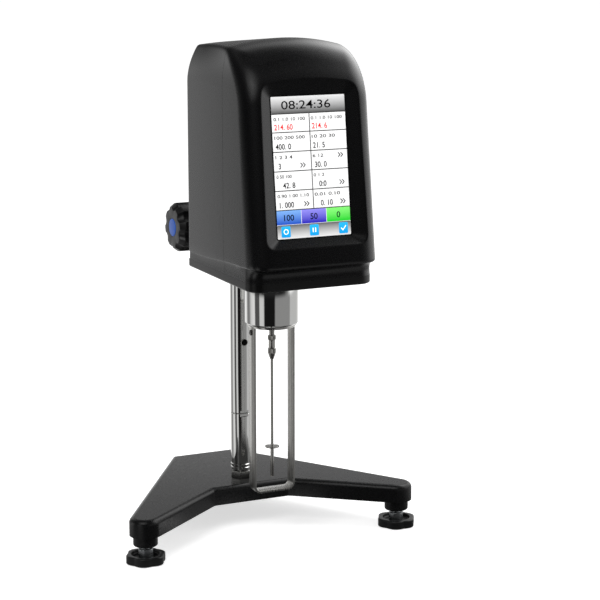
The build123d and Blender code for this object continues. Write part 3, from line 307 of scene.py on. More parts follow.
def surface(points: Array, wrap: bool = False, first: bool = False, last: bool = False) -> Mesh:
    """Turn a grid of points to a mesh, with its first or last row closed to its middle.

    Args:
        points: Grid (rows, columns, 3).
        wrap: True if the last column joins the first.
        first: Close the first row with a fan.
        last: Close the last row with a fan.

    Returns:
        The mesh.
    """
    rows, columns = points.shape[:2]
    spots = [points.reshape(-1, 3)]
    faces = [grid_quads(rows, columns, wrap)]
    for ask, row in ((first, 0), (last, rows - 1)):
        if ask:
            ring = np.arange(columns) + row * columns
            hub = sum(len(s) for s in spots)
            spots.append(points[row].mean(0, keepdims=True))
            faces.append(np.stack([ring, np.roll(ring, -1), np.full(columns, hub),
                                   np.full(columns, -1)], -1))
    return np.concatenate(spots), np.concatenate(faces)


def joined(meshes: Sequence[Mesh]) -> Mesh:
    """Put several meshes in one."""
    spots, faces, count = [], [], 0
    for points, quads in meshes:
        spots.append(points)
        faces.append(np.where(quads < 0, -1, quads + count))
        count += len(points)
    return np.concatenate(spots), np.concatenate(faces)


def turned(profile: Array, centre: Point, segments: int = 96, axis: int = 2,
           swell: Callable[[Array, Array], Array] | None = None) -> Mesh:
    """Carry a profile (radius, height) round an axis: a point is radius * (cos, sin) of the turn.

    Args:
        profile: Points (n, 2) of radius and height, from one end to the other.
        centre: A point of the axis, the heights' zero.
        segments: Steps round the axis.
        axis: 0, 1 or 2, the axis along X, Y or Z.
        swell: Change of radius by turn and height, for lobes, flats, knurls and threads.

    Returns:
        The closed mesh.
    """
    turn = np.arange(segments) * TURN / segments
    radius, height = np.broadcast_arrays(profile[:, :1], profile[:, 1:])
    radius = np.repeat(radius, segments, 1)
    height = np.repeat(height, segments, 1)
    if swell:
        radius = radius + swell(turn[None, :], height) * (radius > 1e-6)
    flat = [radius * np.cos(turn), radius * np.sin(turn)]
    parts = {2: (flat[0], flat[1], height), 0: (height, flat[0], flat[1]),
             1: (flat[1], height, flat[0])}[axis]
    return surface(np.stack(parts, -1) + np.array(centre), True, True, True)


def rounded(corners: Sequence[Corner], radii: float | Sequence[float], steps: int = 6,
            closed: bool = False) -> Array:
    """Round the corners of a line: each becomes the arc that touches both of its sides.

    Args:
        corners: The line's points.
        radii: One radius, or one for each corner.
        steps: Pieces of each arc.
        closed: True if the last point joins the first.

    Returns:
        Points (n, 2).
    """
    line = np.array(corners, float)
    count = len(line)
    wanted = np.broadcast_to(np.array(radii, float), (count,))
    made = []
    for k in range(count):
        if (not closed and k in (0, count - 1)) or wanted[k] <= 0:
            made.append(line[k:k + 1])
            continue
        before, here, after = line[k - 1], line[k], line[(k + 1) % count]
        back, on = (before - here), (after - here)
        reach = min(np.linalg.norm(back), np.linalg.norm(on))
        back, on = back / np.linalg.norm(back), on / np.linalg.norm(on)
        half = math.acos(float(np.clip(back @ on, -1, 1))) / 2
        cut = min(wanted[k] / math.tan(half), 0.499 * reach)
        radius = cut * math.tan(half)
        middle = here + (back + on) / np.linalg.norm(back + on) * radius / math.sin(half)
        start = here + back * cut - middle
        sweep = math.pi - 2 * half
        end = here + on * cut - middle
        side = 1.0 if start[0] * end[1] - start[1] * end[0] > 0 else -1.0
        turn = np.linspace(0, sweep, steps + 1) * side
        made.append(middle + np.stack([start[0] * np.cos(turn) - start[1] * np.sin(turn),
                                       start[0] * np.sin(turn) + start[1] * np.cos(turn)], -1))
    return np.concatenate(made)


def inset(outline: Array, by: float) -> Array:
    """Draw a closed outline in: each point moves along the mean of its two sides' normals."""
    ahead = np.roll(outline, -1, 0) - outline
    ahead = ahead / np.maximum(np.linalg.norm(ahead, axis=1, keepdims=True), 1e-9)
    behind = np.roll(ahead, 1, 0)
    bisect = np.stack([-(ahead + behind)[:, 1], (ahead + behind)[:, 0]], -1)
    size = np.linalg.norm(bisect, axis=1, keepdims=True)
    area = np.sum(outline[:, 0] * np.roll(outline[:, 1], -1)
                  - outline[:, 1] * np.roll(outline[:, 0], -1))
    return outline + bisect / np.maximum(size, 1e-9) * by * np.sign(area) * 2 / np.maximum(size, 1.0)


def raised(flat: Array, height: float) -> Array:
    """Give points (n, 2) of a plane one height."""
    return np.column_stack([flat, np.full(len(flat), height)])


def plate(outline: Array, low: float, high: float, edge: float, to_space: Callable[[Array], Array],
          steps: int = 4) -> Mesh:
    """Make a plate: rings of the outline, drawn in by a quarter circle at its upper edge.

    Args:
        outline: Closed outline (n, 2).
        low: Height of its underside.
        high: Height of its face.
        edge: Radius of the upper edge.
        to_space: Turns (x, y, height) to a point in space.
        steps: Pieces of the edge's arc.

    Returns:
        The closed mesh.
    """
    turn = np.linspace(0, math.pi / 2, steps + 1)
    rings = [(0.0, low)] + [(edge * (1 - math.cos(t)), high - edge + edge * math.sin(t))
                            for t in turn]
    stack = [raised(inset(outline, by), height) for by, height in rings]
    return surface(to_space(np.stack(stack)), True, True, True)


def make_piece(name: str, mesh: Mesh, finish: Finish, body: str, nodes: Sequence[str] = (),
               crease: float = 32.0) -> bpy.types.Object:
    """Hand a mesh to Blender as a dressed piece that rides on a body.

    Args:
        name: The piece's name.
        mesh: Points in millimetres and faces.
        finish: Its surface.
        body: The body it rides on.
        nodes: Solids it stands for.
        crease: Edges sharper than this angle in degrees stay crisp.

    Returns:
        The object.
    """
    points, quads = mesh
    data = bpy.data.meshes.new(name)
    faces = [[int(k) for k in quad if k >= 0] for quad in quads.tolist()]
    data.from_pydata((points * MM).tolist(), [], faces)
    tidy = bmesh.new()
    tidy.from_mesh(data)
    bmesh.ops.remove_doubles(tidy, verts=tidy.verts, dist=1e-6)
    bmesh.ops.dissolve_degenerate(tidy, edges=tidy.edges, dist=1e-7)
    bmesh.ops.recalc_face_normals(tidy, faces=tidy.faces)
    tidy.to_mesh(data)
    tidy.free()
    data.polygons.foreach_set("use_smooth", np.ones(len(data.polygons), bool))
    data.set_sharp_from_angle(angle=math.radians(crease))
    data.materials.append(finish.material())
    piece = placed(name, data)
    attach(piece, body)
    if nodes:
        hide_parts(*nodes)
    LOG.info("%s: %d faces, %s, rides on %s", name, len(data.polygons), finish.name, body)
    return piece


def dress(nodes: dict, finish: Finish, *names: str) -> None:
    """Give solids that keep their mesh a finish.

    Args:
        nodes: The solids by name.
        finish: The surface.
        names: Which solids.
    """
    for name in names:
        node = nodes[name]
        node.data.materials.clear()
        node.data.materials.append(finish.material())
        LOG.info("%s: dressed as %s", name, finish.name)


# ------------------------------------------------------------------ studio
@dataclass(frozen=True)
class Camera:
    """The view: a long lens, a little above the head's middle, from the front left."""

    place: Point = (-665.12, -1512.09, 546.84)
    turn: float = 25.06  # degrees from +Y towards +X
    drop: float = 11.46  # degrees below the horizon
    sensor: float = 36.0
    lens: float = 36.0 * 1919.53 / 600

    def build(self) -> None:
        """Make the camera and let the scene look through it."""
        data = bpy.data.cameras.new("view")
        data.sensor_fit = "HORIZONTAL"
        data.sensor_width = self.sensor
        data.lens = self.lens
        data.clip_start = 0.05
        eye = placed("view", data)
        eye.location = tuple(v * MM for v in self.place)
        eye.rotation_euler = (math.radians(90 - self.drop), 0, -math.radians(self.turn))
        bpy.context.scene.camera = eye


@dataclass(frozen=True)
class Lamp:
    """A soft box that looks at a point."""

    name: str
    place: Point  # metres
    size: tuple[float, float]
    power: float
    target: Point = (0, 0, 0.25)

    def build(self) -> None:
        """Make the lamp."""
        data = bpy.data.lights.new(self.name, "AREA")
        data.shape = "RECTANGLE"
        data.size, data.size_y = self.size
        data.energy = self.power
        lamp = placed(self.name, data)
        lamp.location = self.place
        aim = np.array(self.target) - np.array(self.place)
        flat = math.hypot(aim[0], aim[1])
        lamp.rotation_euler = (math.pi / 2 + math.atan2(aim[2], flat), 0,
                               math.atan2(aim[1], aim[0]) - math.pi / 2)


@dataclass(frozen=True)
class Tent:
    """A tent of card that only reflections see: its shade changes with the compass angle.

    A level of 1 is white card. Each pair is an angle in degrees from +X, anticlockwise, and a
    level; between two pairs the level runs evenly. The floor and the foot of the wall have one
    row of levels, the wall a second, the bank above it a third, the roof a fourth, the floor
    near the object a fifth, the foot of the roof a sixth.
    """

    zones: tuple[tuple[tuple[float, float], ...], ...]
    centre: tuple[float, float] = (0.0, -0.032)
    profile: tuple[tuple[float, float, float], ...] = (  # radius and height in m, zone
        (0.02, 0.0006, 4), (0.20, 0.0006, 4), (0.27, 0.0006, 0), (0.55, 0.0006, 0),
        (0.55, 0.15, 0), (0.55, 0.17, 1), (0.55, 0.45, 1), (0.53, 0.60, 2), (0.48, 0.76, 2),
        (0.42, 0.9, 5), (0.3, 1.02, 3), (0.0, 1.1, 3))

    def level(self, zone: int, turn: Array) -> Array:
        """Read one zone's level at compass angles in degrees."""
        stops = np.array(self.zones[zone])
        return np.interp(turn, stops[:, 0], stops[:, 1])

    def build(self) -> None:
        """Make the floor ring, the wall and the roof with their glow."""
        degrees = np.linspace(0, 360, 361)
        turn = np.radians(degrees)
        rows = [np.column_stack([self.centre[0] + r * np.cos(turn),
                                 self.centre[1] + r * np.sin(turn), np.full(361, z)])
                for r, z, _ in self.profile]
        points, quads = surface(np.stack(rows))
        data = bpy.data.meshes.new("tent")
        data.from_pydata(points.tolist(), [], quads.tolist())
        levels = np.concatenate([self.level(zone, degrees) for _, _, zone in self.profile])
        layer = data.uv_layers.new(name="level")
        spots = np.array([loop.vertex_index for loop in data.loops])
        layer.data.foreach_set("uv", np.column_stack([levels[spots], levels[spots]]).ravel())
        paint, tree, shader = new_material("tent_card")
        tree.nodes.remove(shader)
        place = add_node(tree, "ShaderNodeTexCoord")
        parts = add_node(tree, "ShaderNodeSeparateXYZ", None, {0: place.outputs["UV"]})
        light = add_node(tree, "ShaderNodeEmission", None,
                         {"Color": (1, 1, 1, 1), "Strength": parts.outputs["X"]})
        feed(tree, tree.nodes["Material Output"], {"Surface": light.outputs[0]})
        data.materials.append(paint)
        card = placed("tent", data)
        for ray in ("camera", "diffuse", "shadow", "transmission", "volume_scatter"):
            setattr(card, f"visible_{ray}", False)


class Studio:
    """Plain pale floor, white surround, soft boxes and the cards that metal reflects."""

    def __init__(self, ambient: float = 0.5, floor_lift: float = 0.62, floor_size: float = 40.0) -> None:
        """Set the levels.

        Args:
            ambient: Strength of the surround as light.
            floor_lift: Light that the paper floor gives the camera by itself.
            floor_size: Width of the floor in metres.
        """
        self.ambient = ambient
        self.floor_lift = floor_lift
        self.floor_size = floor_size
        self.lamps = [
            Lamp("key", (-1.3, -1.3, 1.9), (1.2, 1.2), 26),
            Lamp("fill", (1.8, -0.8, 1.2), (1.0, 1.4), 12),
            Lamp("top", (0.2, 0.4, 2.2), (1.4, 1.4), 16),
        ]
        low = ((0, 0.62), (20, 0.62), (24, 1.0), (110, 1.0), (114, 0.8), (118, 0.48), (122, 0.33),
               (134, 0.2), (150, 0.8), (168, 0.95), (173, 0.1), (191, 0.1), (195, 0.75),
               (211, 0.75), (216, 0.01), (257, 0.01), (262, 0.32), (325, 0.32), (331, 0.62),
               (360, 0.62))
        wall = ((0, 1.5), (30, 1.5), (45, 0.3), (90, 0.3), (110, 1.0), (114, 0.8), (118, 0.48),
                (122, 0.33), (134, 0.2), (150, 0.12), (175, 0.02), (300, 0.02), (315, 0.25),
                (332, 1.5), (360, 1.5))
        bank = ((0, 3.6), (40, 3.6), (60, 0.3), (100, 0.05), (300, 0.02), (320, 0.5), (340, 2.8),
                (360, 3.6))
        roof = ((0, 0.03), (360, 0.03))
        near = ((0, 0.2), (30, 0.2), (60, 0.3), (180, 0.3), (210, 0.04), (340, 0.04), (360, 0.2))
        eave = ((0, 1.1), (60, 1.1), (100, 0.15), (300, 0.1), (335, 0.2), (350, 0.4), (360, 1.1))
        self.cards = [Tent((low, wall, bank, roof, near, eave))]

    def seen(self, tree: bpy.types.NodeTree) -> bpy.types.NodeSocket:
        """Say 1 for camera, mirror and glass rays, and 0 for the rest."""
        path = add_node(tree, "ShaderNodeLightPath")
        pair = add_node(tree, "ShaderNodeMath", {"operation": "ADD"},
                        {0: path.outputs["Is Camera Ray"], 1: path.outputs["Is Glossy Ray"]})
        return add_node(tree, "ShaderNodeMath", {"operation": "ADD", "use_clamp": True},
                        {0: pair.outputs[0], 1: path.outputs["Is Transmission Ray"]}).outputs[0]

    def build(self) -> None:
        """Make the surround, the floor, the lamps and the cards."""
        world = bpy.data.worlds.new("surround")
        bpy.context.scene.world = world
        world.use_nodes = True
        tree = world.node_tree
        level = add_node(tree, "ShaderNodeMath", {"operation": "MULTIPLY_ADD"},
                         {0: self.seen(tree), 1: 1 - self.ambient, 2: self.ambient})
        feed(tree, tree.nodes["Background"], {"Color": (1, 1, 1, 1), "Strength": level.outputs[0]})
        self.floor()
        for thing in (*self.lamps, *self.cards):
            thing.build()

    def floor(self) -> None:
        """Lay the paper: matt white, and lifted a little where the camera sees it."""
        half = self.floor_size / 2
        data = bpy.data.meshes.new("paper")
        data.from_pydata([(-half, -half, 0), (half, -half, 0), (half, half, 0), (-half, half, 0)],
                         [], [(0, 1, 2, 3)])
        paper, tree, shader = new_material("matt_white_paper")
        level = add_node(tree, "ShaderNodeMath", {"operation": "MULTIPLY"},
                         {0: self.seen(tree), 1: self.floor_lift})
        feed(tree, shader, {"Base Color": linear("e6e6e6"), "Roughness": 0.9,
                            "Specular IOR Level": 0.1, "Emission Color": (1, 1, 1, 1),
                            "Emission Strength": level.outputs[0]})
        data.materials.append(paper)
        placed("paper", data)


# ------------------------------------------------------------------ head housing
def soft_max(a: Array, b: Array, radius: float | Array, power: float = 2.0) -> Array:
    """Join two depths with a round edge: the larger, or ((a+r)^p + (b+r)^p)^(1/p) - r near both.

    Args:
        a: First depth, negative inside.
        b: Second depth.
        radius: Radius of the edge.
        power: 2 for a circle, more for an edge whose curvature swells and fades.

    Returns:
        The joined depth.
    """
    near = (np.maximum(a + radius, 0) ** power
            + np.maximum(b + radius, 0) ** power) ** (1 / power) - radius
    return np.where((a > -radius) & (b > -radius), near, np.maximum(a, b))


def smooth(t: Array) -> Array:
    """Run from 0 to 1 with level ends: t^2 (3 - 2t)."""
    t = np.clip(t, 0, 1)
    return t * t * (3 - 2 * t)


def bent(start: Array, corner: Array, end: Array, t: float) -> Array:
    """Run from start to end round a corner: a parabola that touches both sides of it."""
    return start * (1 - t) ** 2 + corner * 2 * t * (1 - t) + end * t * t


def cast(depth: Callable[[Array], Array], start: Array, ray: Array, reach: float = 170.0) -> Array:
    """Walk each ray from inside a form to its skin by halving the step 36 times.

    Args:
        depth: Negative inside the form.
        start: Points inside (..., 3).
        ray: Directions (..., 3).
        reach: A distance outside the form.

    Returns:
        Points of the skin.
    """
    near = np.zeros(np.broadcast(start[..., 0], ray[..., 0]).shape)
    far = np.full_like(near, reach)
    for _ in range(36):
        middle = (near + far) / 2
        inside = depth(start + ray * middle[..., None]) < 0
        near, far = np.where(inside, middle, near), np.where(inside, far, middle)
    return start + ray * near[..., None]


@dataclass(frozen=True)
class Skin:
    """Outer form of the head: one depth function of a point, negative inside."""

    half: float = 57.4
    draw: float = 2.0  # each side comes in by this much at the back
    bow: float = 0.1  # the sides swell between front and back
    front_y: float = -128.0
    rear_y: float = 21.0
    foot: float = 262.0
    foot_drop: float = 5.5  # the lip falls by this much towards the back
    lean: float = 0.136
    rear_top: float = 437.3
    rise: float = 0.089
    crown: float = 0.0030  # drop of the top, by the square of the distance from the middle
    crown_fall: float = 0.0018  # the crown flattens by this much at the back
    shoulder: float = 10.0  # the sides come in by this much at the top of the back
    shoulder_height: float = 30.0
    brow_r: float = 46.0
    edge_r: float = 21.0
    edge_power: float = 2.7
    rear_edge_r: float = 2.5
    back_r: float = 1.5

    def length(self, y: Array) -> Array:
        """Share of the way from front to back."""
        return (y - self.front_y) / (self.rear_y - self.front_y)

    def lip(self, y: Array) -> Array:
        """Height of the shell's lip: level round the front, falling along the sides."""
        return self.foot - self.foot_drop * smooth((self.length(y) - 0.2) / 0.75)

    def lip_r(self, y: Array) -> Array:
        """Radius of the lip: broad in front, crisp along the sides."""
        return 0.7 + 2.1 * (1 - smooth(self.length(y) / 0.25))

    def depth(self, point: Array) -> Array:
        """Depth of points below the skin.

        Args:
            point: Points (..., 3).

        Returns:
            Negative inside, zero on the skin.
        """
        x, y, z = np.abs(point[..., 0]), point[..., 1], point[..., 2]
        along = self.length(y)
        crown = self.crown - self.crown_fall * smooth((along - 0.3) / 0.6)
        top = self.rear_top + (self.rear_y - y) * self.rise - crown * x * x
        high = np.clip((z - top + self.shoulder_height) / self.shoulder_height, 0, 1)
        side = x - (self.half - self.draw * along - self.bow * (2 * along - 1) ** 2
                    - self.shoulder * smooth((along - 0.1) / 0.75) * high ** 2)
        face = (self.front_y + (z - self.foot) * self.lean - y) / math.hypot(1, self.lean)
        cap = (z - top) / math.hypot(1, self.rise)
        arch = soft_max(face, cap, self.brow_r)
        sharp = smooth((along - 0.15) / 0.4)
        edge = self.edge_r + (self.rear_edge_r - self.edge_r) * sharp
        form = soft_max(side, arch, edge, self.edge_power)
        form = soft_max(form, self.lip(y) - z, self.lip_r(y))
        return soft_max(form, y - self.rear_y, self.back_r)


@dataclass(frozen=True)
class ScreenPlane:
    """Plane of the display: x to the right, v up the glass, lift out of it."""

    y: float = -111.5
    z: float = 343.3
    lean: float = math.radians(7.1)

    def space(self, flat: Array) -> Array:
        """Turn (x, v, lift) to points in space."""
        x, v, lift = flat[..., 0], flat[..., 1], flat[..., 2]
        s, c = math.sin(self.lean), math.cos(self.lean)
        return np.stack([x, self.y + v * s - lift * c, self.z + v * c + lift * s], -1)

    def flat(self, point: Array) -> Array:
        """Turn points in space to (x, v, lift)."""
        s, c = math.sin(self.lean), math.cos(self.lean)
        y, z = point[..., 1] - self.y, point[..., 2] - self.z
        return np.stack([point[..., 0], y * s + z * c, z * s - y * c], -1)


def arched_frame(half: float, low: float, high: float, low_r: float, high_r: float,
                 crown: float) -> Array:
    """Draw a rounded frame whose top edge is arched, always with the same count of points.

    Args:
        half: Half the width.
        low, high: Distances down and up from the middle.
        low_r, high_r: Radii of the corners below and above.
        crown: Rise of the top edge in its middle, as 1 - (x / half)^2.

    Returns:
        Points (n, 2), anticlockwise from the middle of the lower edge.
    """
    quarter = np.linspace(0, math.pi / 2, 44)[:-1]
    run = np.linspace(0, 1, 75)[:-1]
    right_low = np.column_stack([half - low_r + low_r * np.sin(quarter),
                                 -low + low_r - low_r * np.cos(quarter)])
    right_high = np.column_stack([half - high_r + high_r * np.cos(quarter),
                                  high - high_r + high_r * np.sin(quarter)])
    foot = np.column_stack([(half - low_r) * run, np.full(74, -low)])
    flank = np.column_stack([np.full(74, half), -low + low_r + (high + low - low_r - high_r) * run])
    reach = (half - high_r) * (1 - run)
    brow = np.column_stack([reach, high + crown * (1 - (reach / (half - high_r)) ** 2)])
    right = np.concatenate([foot, right_low, flank, right_high, brow])
    left = np.column_stack([-right[1:, 0], right[1:, 1]])[::-1]
    crest = np.array([[0.0, high + crown]])
    return np.concatenate([right, crest, left])


TRIM_HALF = (56, 88)  # half the width and height of the skin round the display
TRIM_DEPTH = 14


def trimmed(mesh: Mesh, loop: Array, plane: ScreenPlane) -> tuple[Mesh, Array, Array]:
    """Cut the inside of a closed curve out of a skin: corners close to the curve move on to it.

    Args:
        mesh: The skin.
        loop: Closed curve on the skin (k, 3).
        plane: The plane that inside and outside are told in.

    Returns:
        The skin left over, the corners on the curve and their numbers along it.
    """
    points, quads = mesh[0].copy(), mesh[1]
    ring = plane.flat(loop)[:, :2]
    spot = plane.flat(points)
    near = np.flatnonzero((np.abs(spot[:, :2]) < TRIM_HALF).all(1) & (spot[:, 2] > -TRIM_DEPTH))
    ahead = np.roll(ring, -1, 0)

    def within(seen: Array) -> Array:
        """Tell which points lie inside the curve, by the crossings of a level ray."""
        y = seen[:, 1:2]
        spans = (ring[:, 1] > y) != (ahead[:, 1] > y)
        slope = (ahead[:, 0] - ring[:, 0]) / np.where(ahead[:, 1] == ring[:, 1], 1e-9,
                                                      ahead[:, 1] - ring[:, 1])
        return (spans & (seen[:, :1] < ring[:, 0] + (y - ring[:, 1]) * slope)).sum(1) % 2 == 1

    inside = np.zeros(len(points), bool)
    inside[near] = within(spot[near, :2])
    gap = np.full(len(points), 1e9)
    mark = np.zeros(len(points), int)
    apart = np.linalg.norm(spot[near, None, :2] - ring[None], axis=2)
    gap[near], mark[near] = apart.min(1), apart.argmin(1)
    edges = np.concatenate([quads[:, [k, (k + 1) % 4]] for k in range(4)])
    cut = edges[inside[edges[:, 0]] != inside[edges[:, 1]]]
    closer = np.where(gap[cut[:, 0]] <= gap[cut[:, 1]], cut[:, 0], cut[:, 1])
    on = np.zeros(len(points), bool)
    on[closer] = True
    points[on] = loop[mark[on]]
    touched = on[quads].any(1)
    diagonal = on[quads[:, 0]] & on[quads[:, 2]]
    first = np.where(diagonal[:, None], quads[:, [0, 1, 2]], quads[:, [0, 1, 3]])
    second = np.where(diagonal[:, None], quads[:, [0, 2, 3]], quads[:, [1, 2, 3]])
    split = np.concatenate([first[touched], second[touched]])
    middle = plane.flat(points[split].mean(1))[:, :2]
    split = split[~within(middle)]
    whole = quads[~touched]
    whole = whole[~inside[whole].any(1)]
    split = np.column_stack([split, np.full(len(split), -1)])
    used = np.unique(split)
    rim = np.flatnonzero(on)
    rim = rim[np.isin(rim, used)]
    _, firsts = np.unique(mark[rim], return_index=True)
    rim = rim[firsts]
    return (points, np.concatenate([whole, split])), rim, mark[rim]


class Housing:
    """Front and rear shell of the head: one skin, parted in a plane across it."""

    core_half = 37.0
    core_y = -85.0
    spring_z = 400.0  # above it the rays tilt up to the crown
    part_y = -60.0
    seam = 0.4  # gap along the parting line
    skirt_z = 250.0
    flange = 3.0
    holes = ((20.0, 48.0, 326.0, 346.0), (-40.5, -27.5, 326.0, 346.0),
             (27.8, 40.2, 378.8, 389.2), (-39.2, -28.8, 378.8, 389.2))
    rim_r = 1.3
    # The recess: half width, reach down and up, radii below and above, rise of the top edge
    floor_frame = (34.2, 58.6, 58.6, 2.5, 3.0, 0.3)
    mouth_frame = (51.0, 67.0, 86.0, 10.0, 17.0, 3.5)
    window_frame = (33.8, 58.2, 58.2, 1.5, 1.5, 0.0)
    mouth_lift = 7.5  # height of the mouth's frame over the floor's
    heel_r = 0.8
    window_depth = 3.5  # the edge of the window goes this far behind the floor
    # The neck between skirt and lip: half the width, and the front
    neck_foot = (56.1, -117.9)
    neck_waist = (55.9, -117.7)
    neck_draw = 1.2  # each side comes in by this much at the back
    neck_r = 13.4
    cove = 0.4  # share of the neck's height below the cove
    fade_y = -8.0  # from here back the cove fades to a straight wall
    fade_run = 26.0
    skin_reach = 30.0  # about how far the skin lies outside the path
    wall_low = 266.0  # the even rows of the wall start here
    row_pitch = 1.25
    flange_z = 340.0  # the flange leans towards this height

    def __init__(self) -> None:
        """Take the outer skin and the display's plane."""
        self.skin = Skin()
        self.plane = ScreenPlane()

    def neck(self, point: Array, half: float, front: float) -> Array:
        """Depth of the neck between the skirt and the lip: a box with two round corners."""
        along = self.skin.length(point[..., 1])
        return soft_max(np.abs(point[..., 0]) - half + self.neck_draw * along,
                        front - point[..., 1], self.neck_r)

    def columns(self, start: Array, ray: Array) -> Array:
        """Raise rows of the skin over a path: neck, cove, lip, side and crown.

        Args:
            start: The path inside the head (n, 2).
            ray: Level directions out of it (n, 2).

        Returns:
            Points (rows, n, 3).
        """
        def level(z: Array) -> Array:
            return np.column_stack([start, np.broadcast_to(z, len(start))])

        out = np.column_stack([ray, np.zeros(len(ray))])
        skin_y = start[:, 1] + ray[:, 1] * self.skin_reach
        lip = self.skin.lip(skin_y)
        foot = cast(lambda p: self.neck(p, *self.neck_foot), level(self.skirt_z), out)
        waist = cast(lambda p: self.neck(p, *self.neck_waist), level(self.skirt_z), out)
        edge = cast(self.skin.depth, level(lip + 0.01), out)
        fade = smooth((start[:, 1] - self.fade_y) / self.fade_run)[:, None]
        turn = self.skirt_z + self.cove * (lip - self.skirt_z)
        rows = []
        for w in np.linspace(0, 1, 5)[:-1]:
            straight = foot + (edge - foot) * self.cove * w
            spot = (foot + (waist - foot) * smooth(w)) * (1 - fade) + straight * fade
            spot[:, 2] = self.skirt_z + (turn - self.skirt_z) * w
            rows.append(spot)
        for u in np.linspace(0, math.pi / 2, 13):
            spot = waist + (edge - waist) * (1 - math.cos(u))
            straight = foot + (edge - foot) * (self.cove + (1 - self.cove) * math.sin(u))
            spot = spot * (1 - fade) + straight * fade
            spot[:, 2] = turn + (lip - turn) * math.sin(u)
            rows.append(spot)
        round_r = self.skin.lip_r(skin_y)
        for u in np.linspace(0, math.pi / 2, 7)[1:]:
            rows.append(cast(self.skin.depth, level(lip + round_r * (1 - math.cos(u))), out))
        marks = sorted({z for hole in self.holes for z in hole[2:]}
                       | {self.wall_low, self.spring_z})
        heights = np.concatenate([
            np.linspace(a, b, max(2, round((b - a) / self.row_pitch)), endpoint=False)
            for a, b in zip(marks, marks[1:])])
        for z in heights:
            rows.append(cast(self.skin.depth, level(z), out))
        for tilt in np.linspace(0, math.pi / 2, 56):
            up = np.column_stack([ray * math.cos(tilt), np.full(len(ray), math.sin(tilt))])
            rows.append(cast(self.skin.depth, level(self.spring_z), up))
        return np.stack(rows)

    def crown(self, x: Array, y: Array) -> Array:
        """Close the top between the columns: rays straight up."""
        across, along = np.meshgrid(x, y)
        start = np.stack([across, along, np.full_like(across, self.spring_z)], -1)
        return cast(self.skin.depth, start, np.array([0.0, 0.0, 1.0]))

    def front(self) -> Mesh:
        """Skin in front of the parting plane, with the display recess let in."""
        deep = np.linspace(self.part_y - self.seam / 2, self.core_y, 19)
        sweep = np.linspace(0, math.pi / 2, 34)[1:-1]
        wide = np.linspace(-self.core_half, self.core_half, 67)
        count = len(wide)
        ends = np.full((len(deep), 2), (-self.core_half, 0.0))
        ends[:, 1] = deep
        path = np.concatenate([ends, np.full((len(sweep), 2), (-self.core_half, self.core_y)),
                               raised(wide[:, None], self.core_y)])
        ray = np.concatenate([np.full((len(deep), 2), (-1.0, 0.0)),
                              np.column_stack([-np.cos(sweep), -np.sin(sweep)]),
                              np.full((count, 2), (0.0, -1.0))])
        path, ray = (np.concatenate([left, left[:-count][::-1] * (-1, 1)]) for left in (path, ray))
        wall = self.columns(path, ray)
        top = self.crown(wide, deep)
        skin, rim, mark = trimmed(joined([surface(wall), surface(top)]), self.mouth(self.rim_r),
                                  self.plane)
        arch = np.concatenate([wall[:, 0], top[0, 1:-1], wall[::-1, -1]])
        return joined([skin, self.recess(skin[0][rim], mark), self.edge(arch)])

    def wall_line(self, grow: float) -> tuple[Array, Array]:
        """Give the recess's outline at its floor and at the mouth's lift, grown by a margin."""
        return tuple(arched_frame(*(size + grow for size in frame[:5]), frame[5])
                     for frame in (self.floor_frame, self.mouth_frame))

    def mouth(self, grow: float) -> Array:
        """Find where the recess's wall, grown by a margin, meets the skin."""
        floor, mouth = self.wall_line(grow)
        start = self.plane.space(raised(floor, 0.0))
        end = self.plane.space(raised(mouth, self.mouth_lift))
        ray = (end - start) / np.linalg.norm(end - start, axis=1, keepdims=True)
        return cast(self.skin.depth, start, ray, reach=40.0)

    def recess(self, rim: Array, mark: Array) -> Mesh:
        """Roll the rim over and go down the wall to the window.

        Args:
            rim: Points of the skin on the grown curve.
            mark: Their numbers along the curve.

        Returns:
            The recess from the rim to behind the window.
        """
        floor = self.wall_line(0.0)[0]
        sharp = self.mouth(0.0)[mark]
        base = self.plane.space(raised(floor, 0.0))[mark]
        down = (base - sharp) / np.linalg.norm(base - sharp, axis=1, keepdims=True)
        eased = sharp + down * self.rim_r
        rows = [bent(rim, sharp, eased, t) for t in np.linspace(0, 1, 7)]
        heel = base - down * self.heel_r
        rows += [eased + (heel - eased) * t for t in (0.25, 0.5, 0.75, 1.0)]
        window = arched_frame(*self.window_frame)[mark]
        lip = self.plane.space(raised(window, 0.0))
        rows += [bent(heel, base, lip, t) for t in np.linspace(0.2, 1, 5)]
        rows.append(self.plane.space(raised(window, -self.window_depth)))
        return surface(np.stack(rows), wrap=True)

    def rear(self) -> Mesh:
        """Skin behind the parting plane and the back face with its openings."""
        ease = self.skin.back_r * (1 - np.cos(np.linspace(math.pi / 2, 0, 7)))
        deep = np.concatenate([np.linspace(self.part_y + self.seam / 2,
                                           self.skin.rear_y - self.skin.back_r, 40)[:-1],
                               self.skin.rear_y - ease])
        path = np.column_stack([np.full(len(deep), -self.core_half), deep])
        left = self.columns(path, np.full((len(deep), 2), (-1.0, 0.0)))
        wide = np.linspace(-self.core_half, self.core_half, 41)
        top = self.crown(wide, deep)
        arch = np.concatenate([left, top.transpose(1, 0, 2)[1:-1], (left * (-1, 1, 1))[::-1]])
        half = np.concatenate([left[:, -1], top[-1, 1:len(wide) // 2 + 1]])
        return joined([surface(arch), self.back(half), self.edge(arch[:, 0])])

    def edge(self, arch: Array) -> Mesh:
        """Turn a parting edge in: a flange over the whole arch."""
        middle = np.array([0.0, arch[0, 1], self.flange_z])
        inward = (middle - arch) / np.linalg.norm(middle - arch, axis=1, keepdims=True)
        return surface(np.stack([arch + inward * self.flange, arch]))

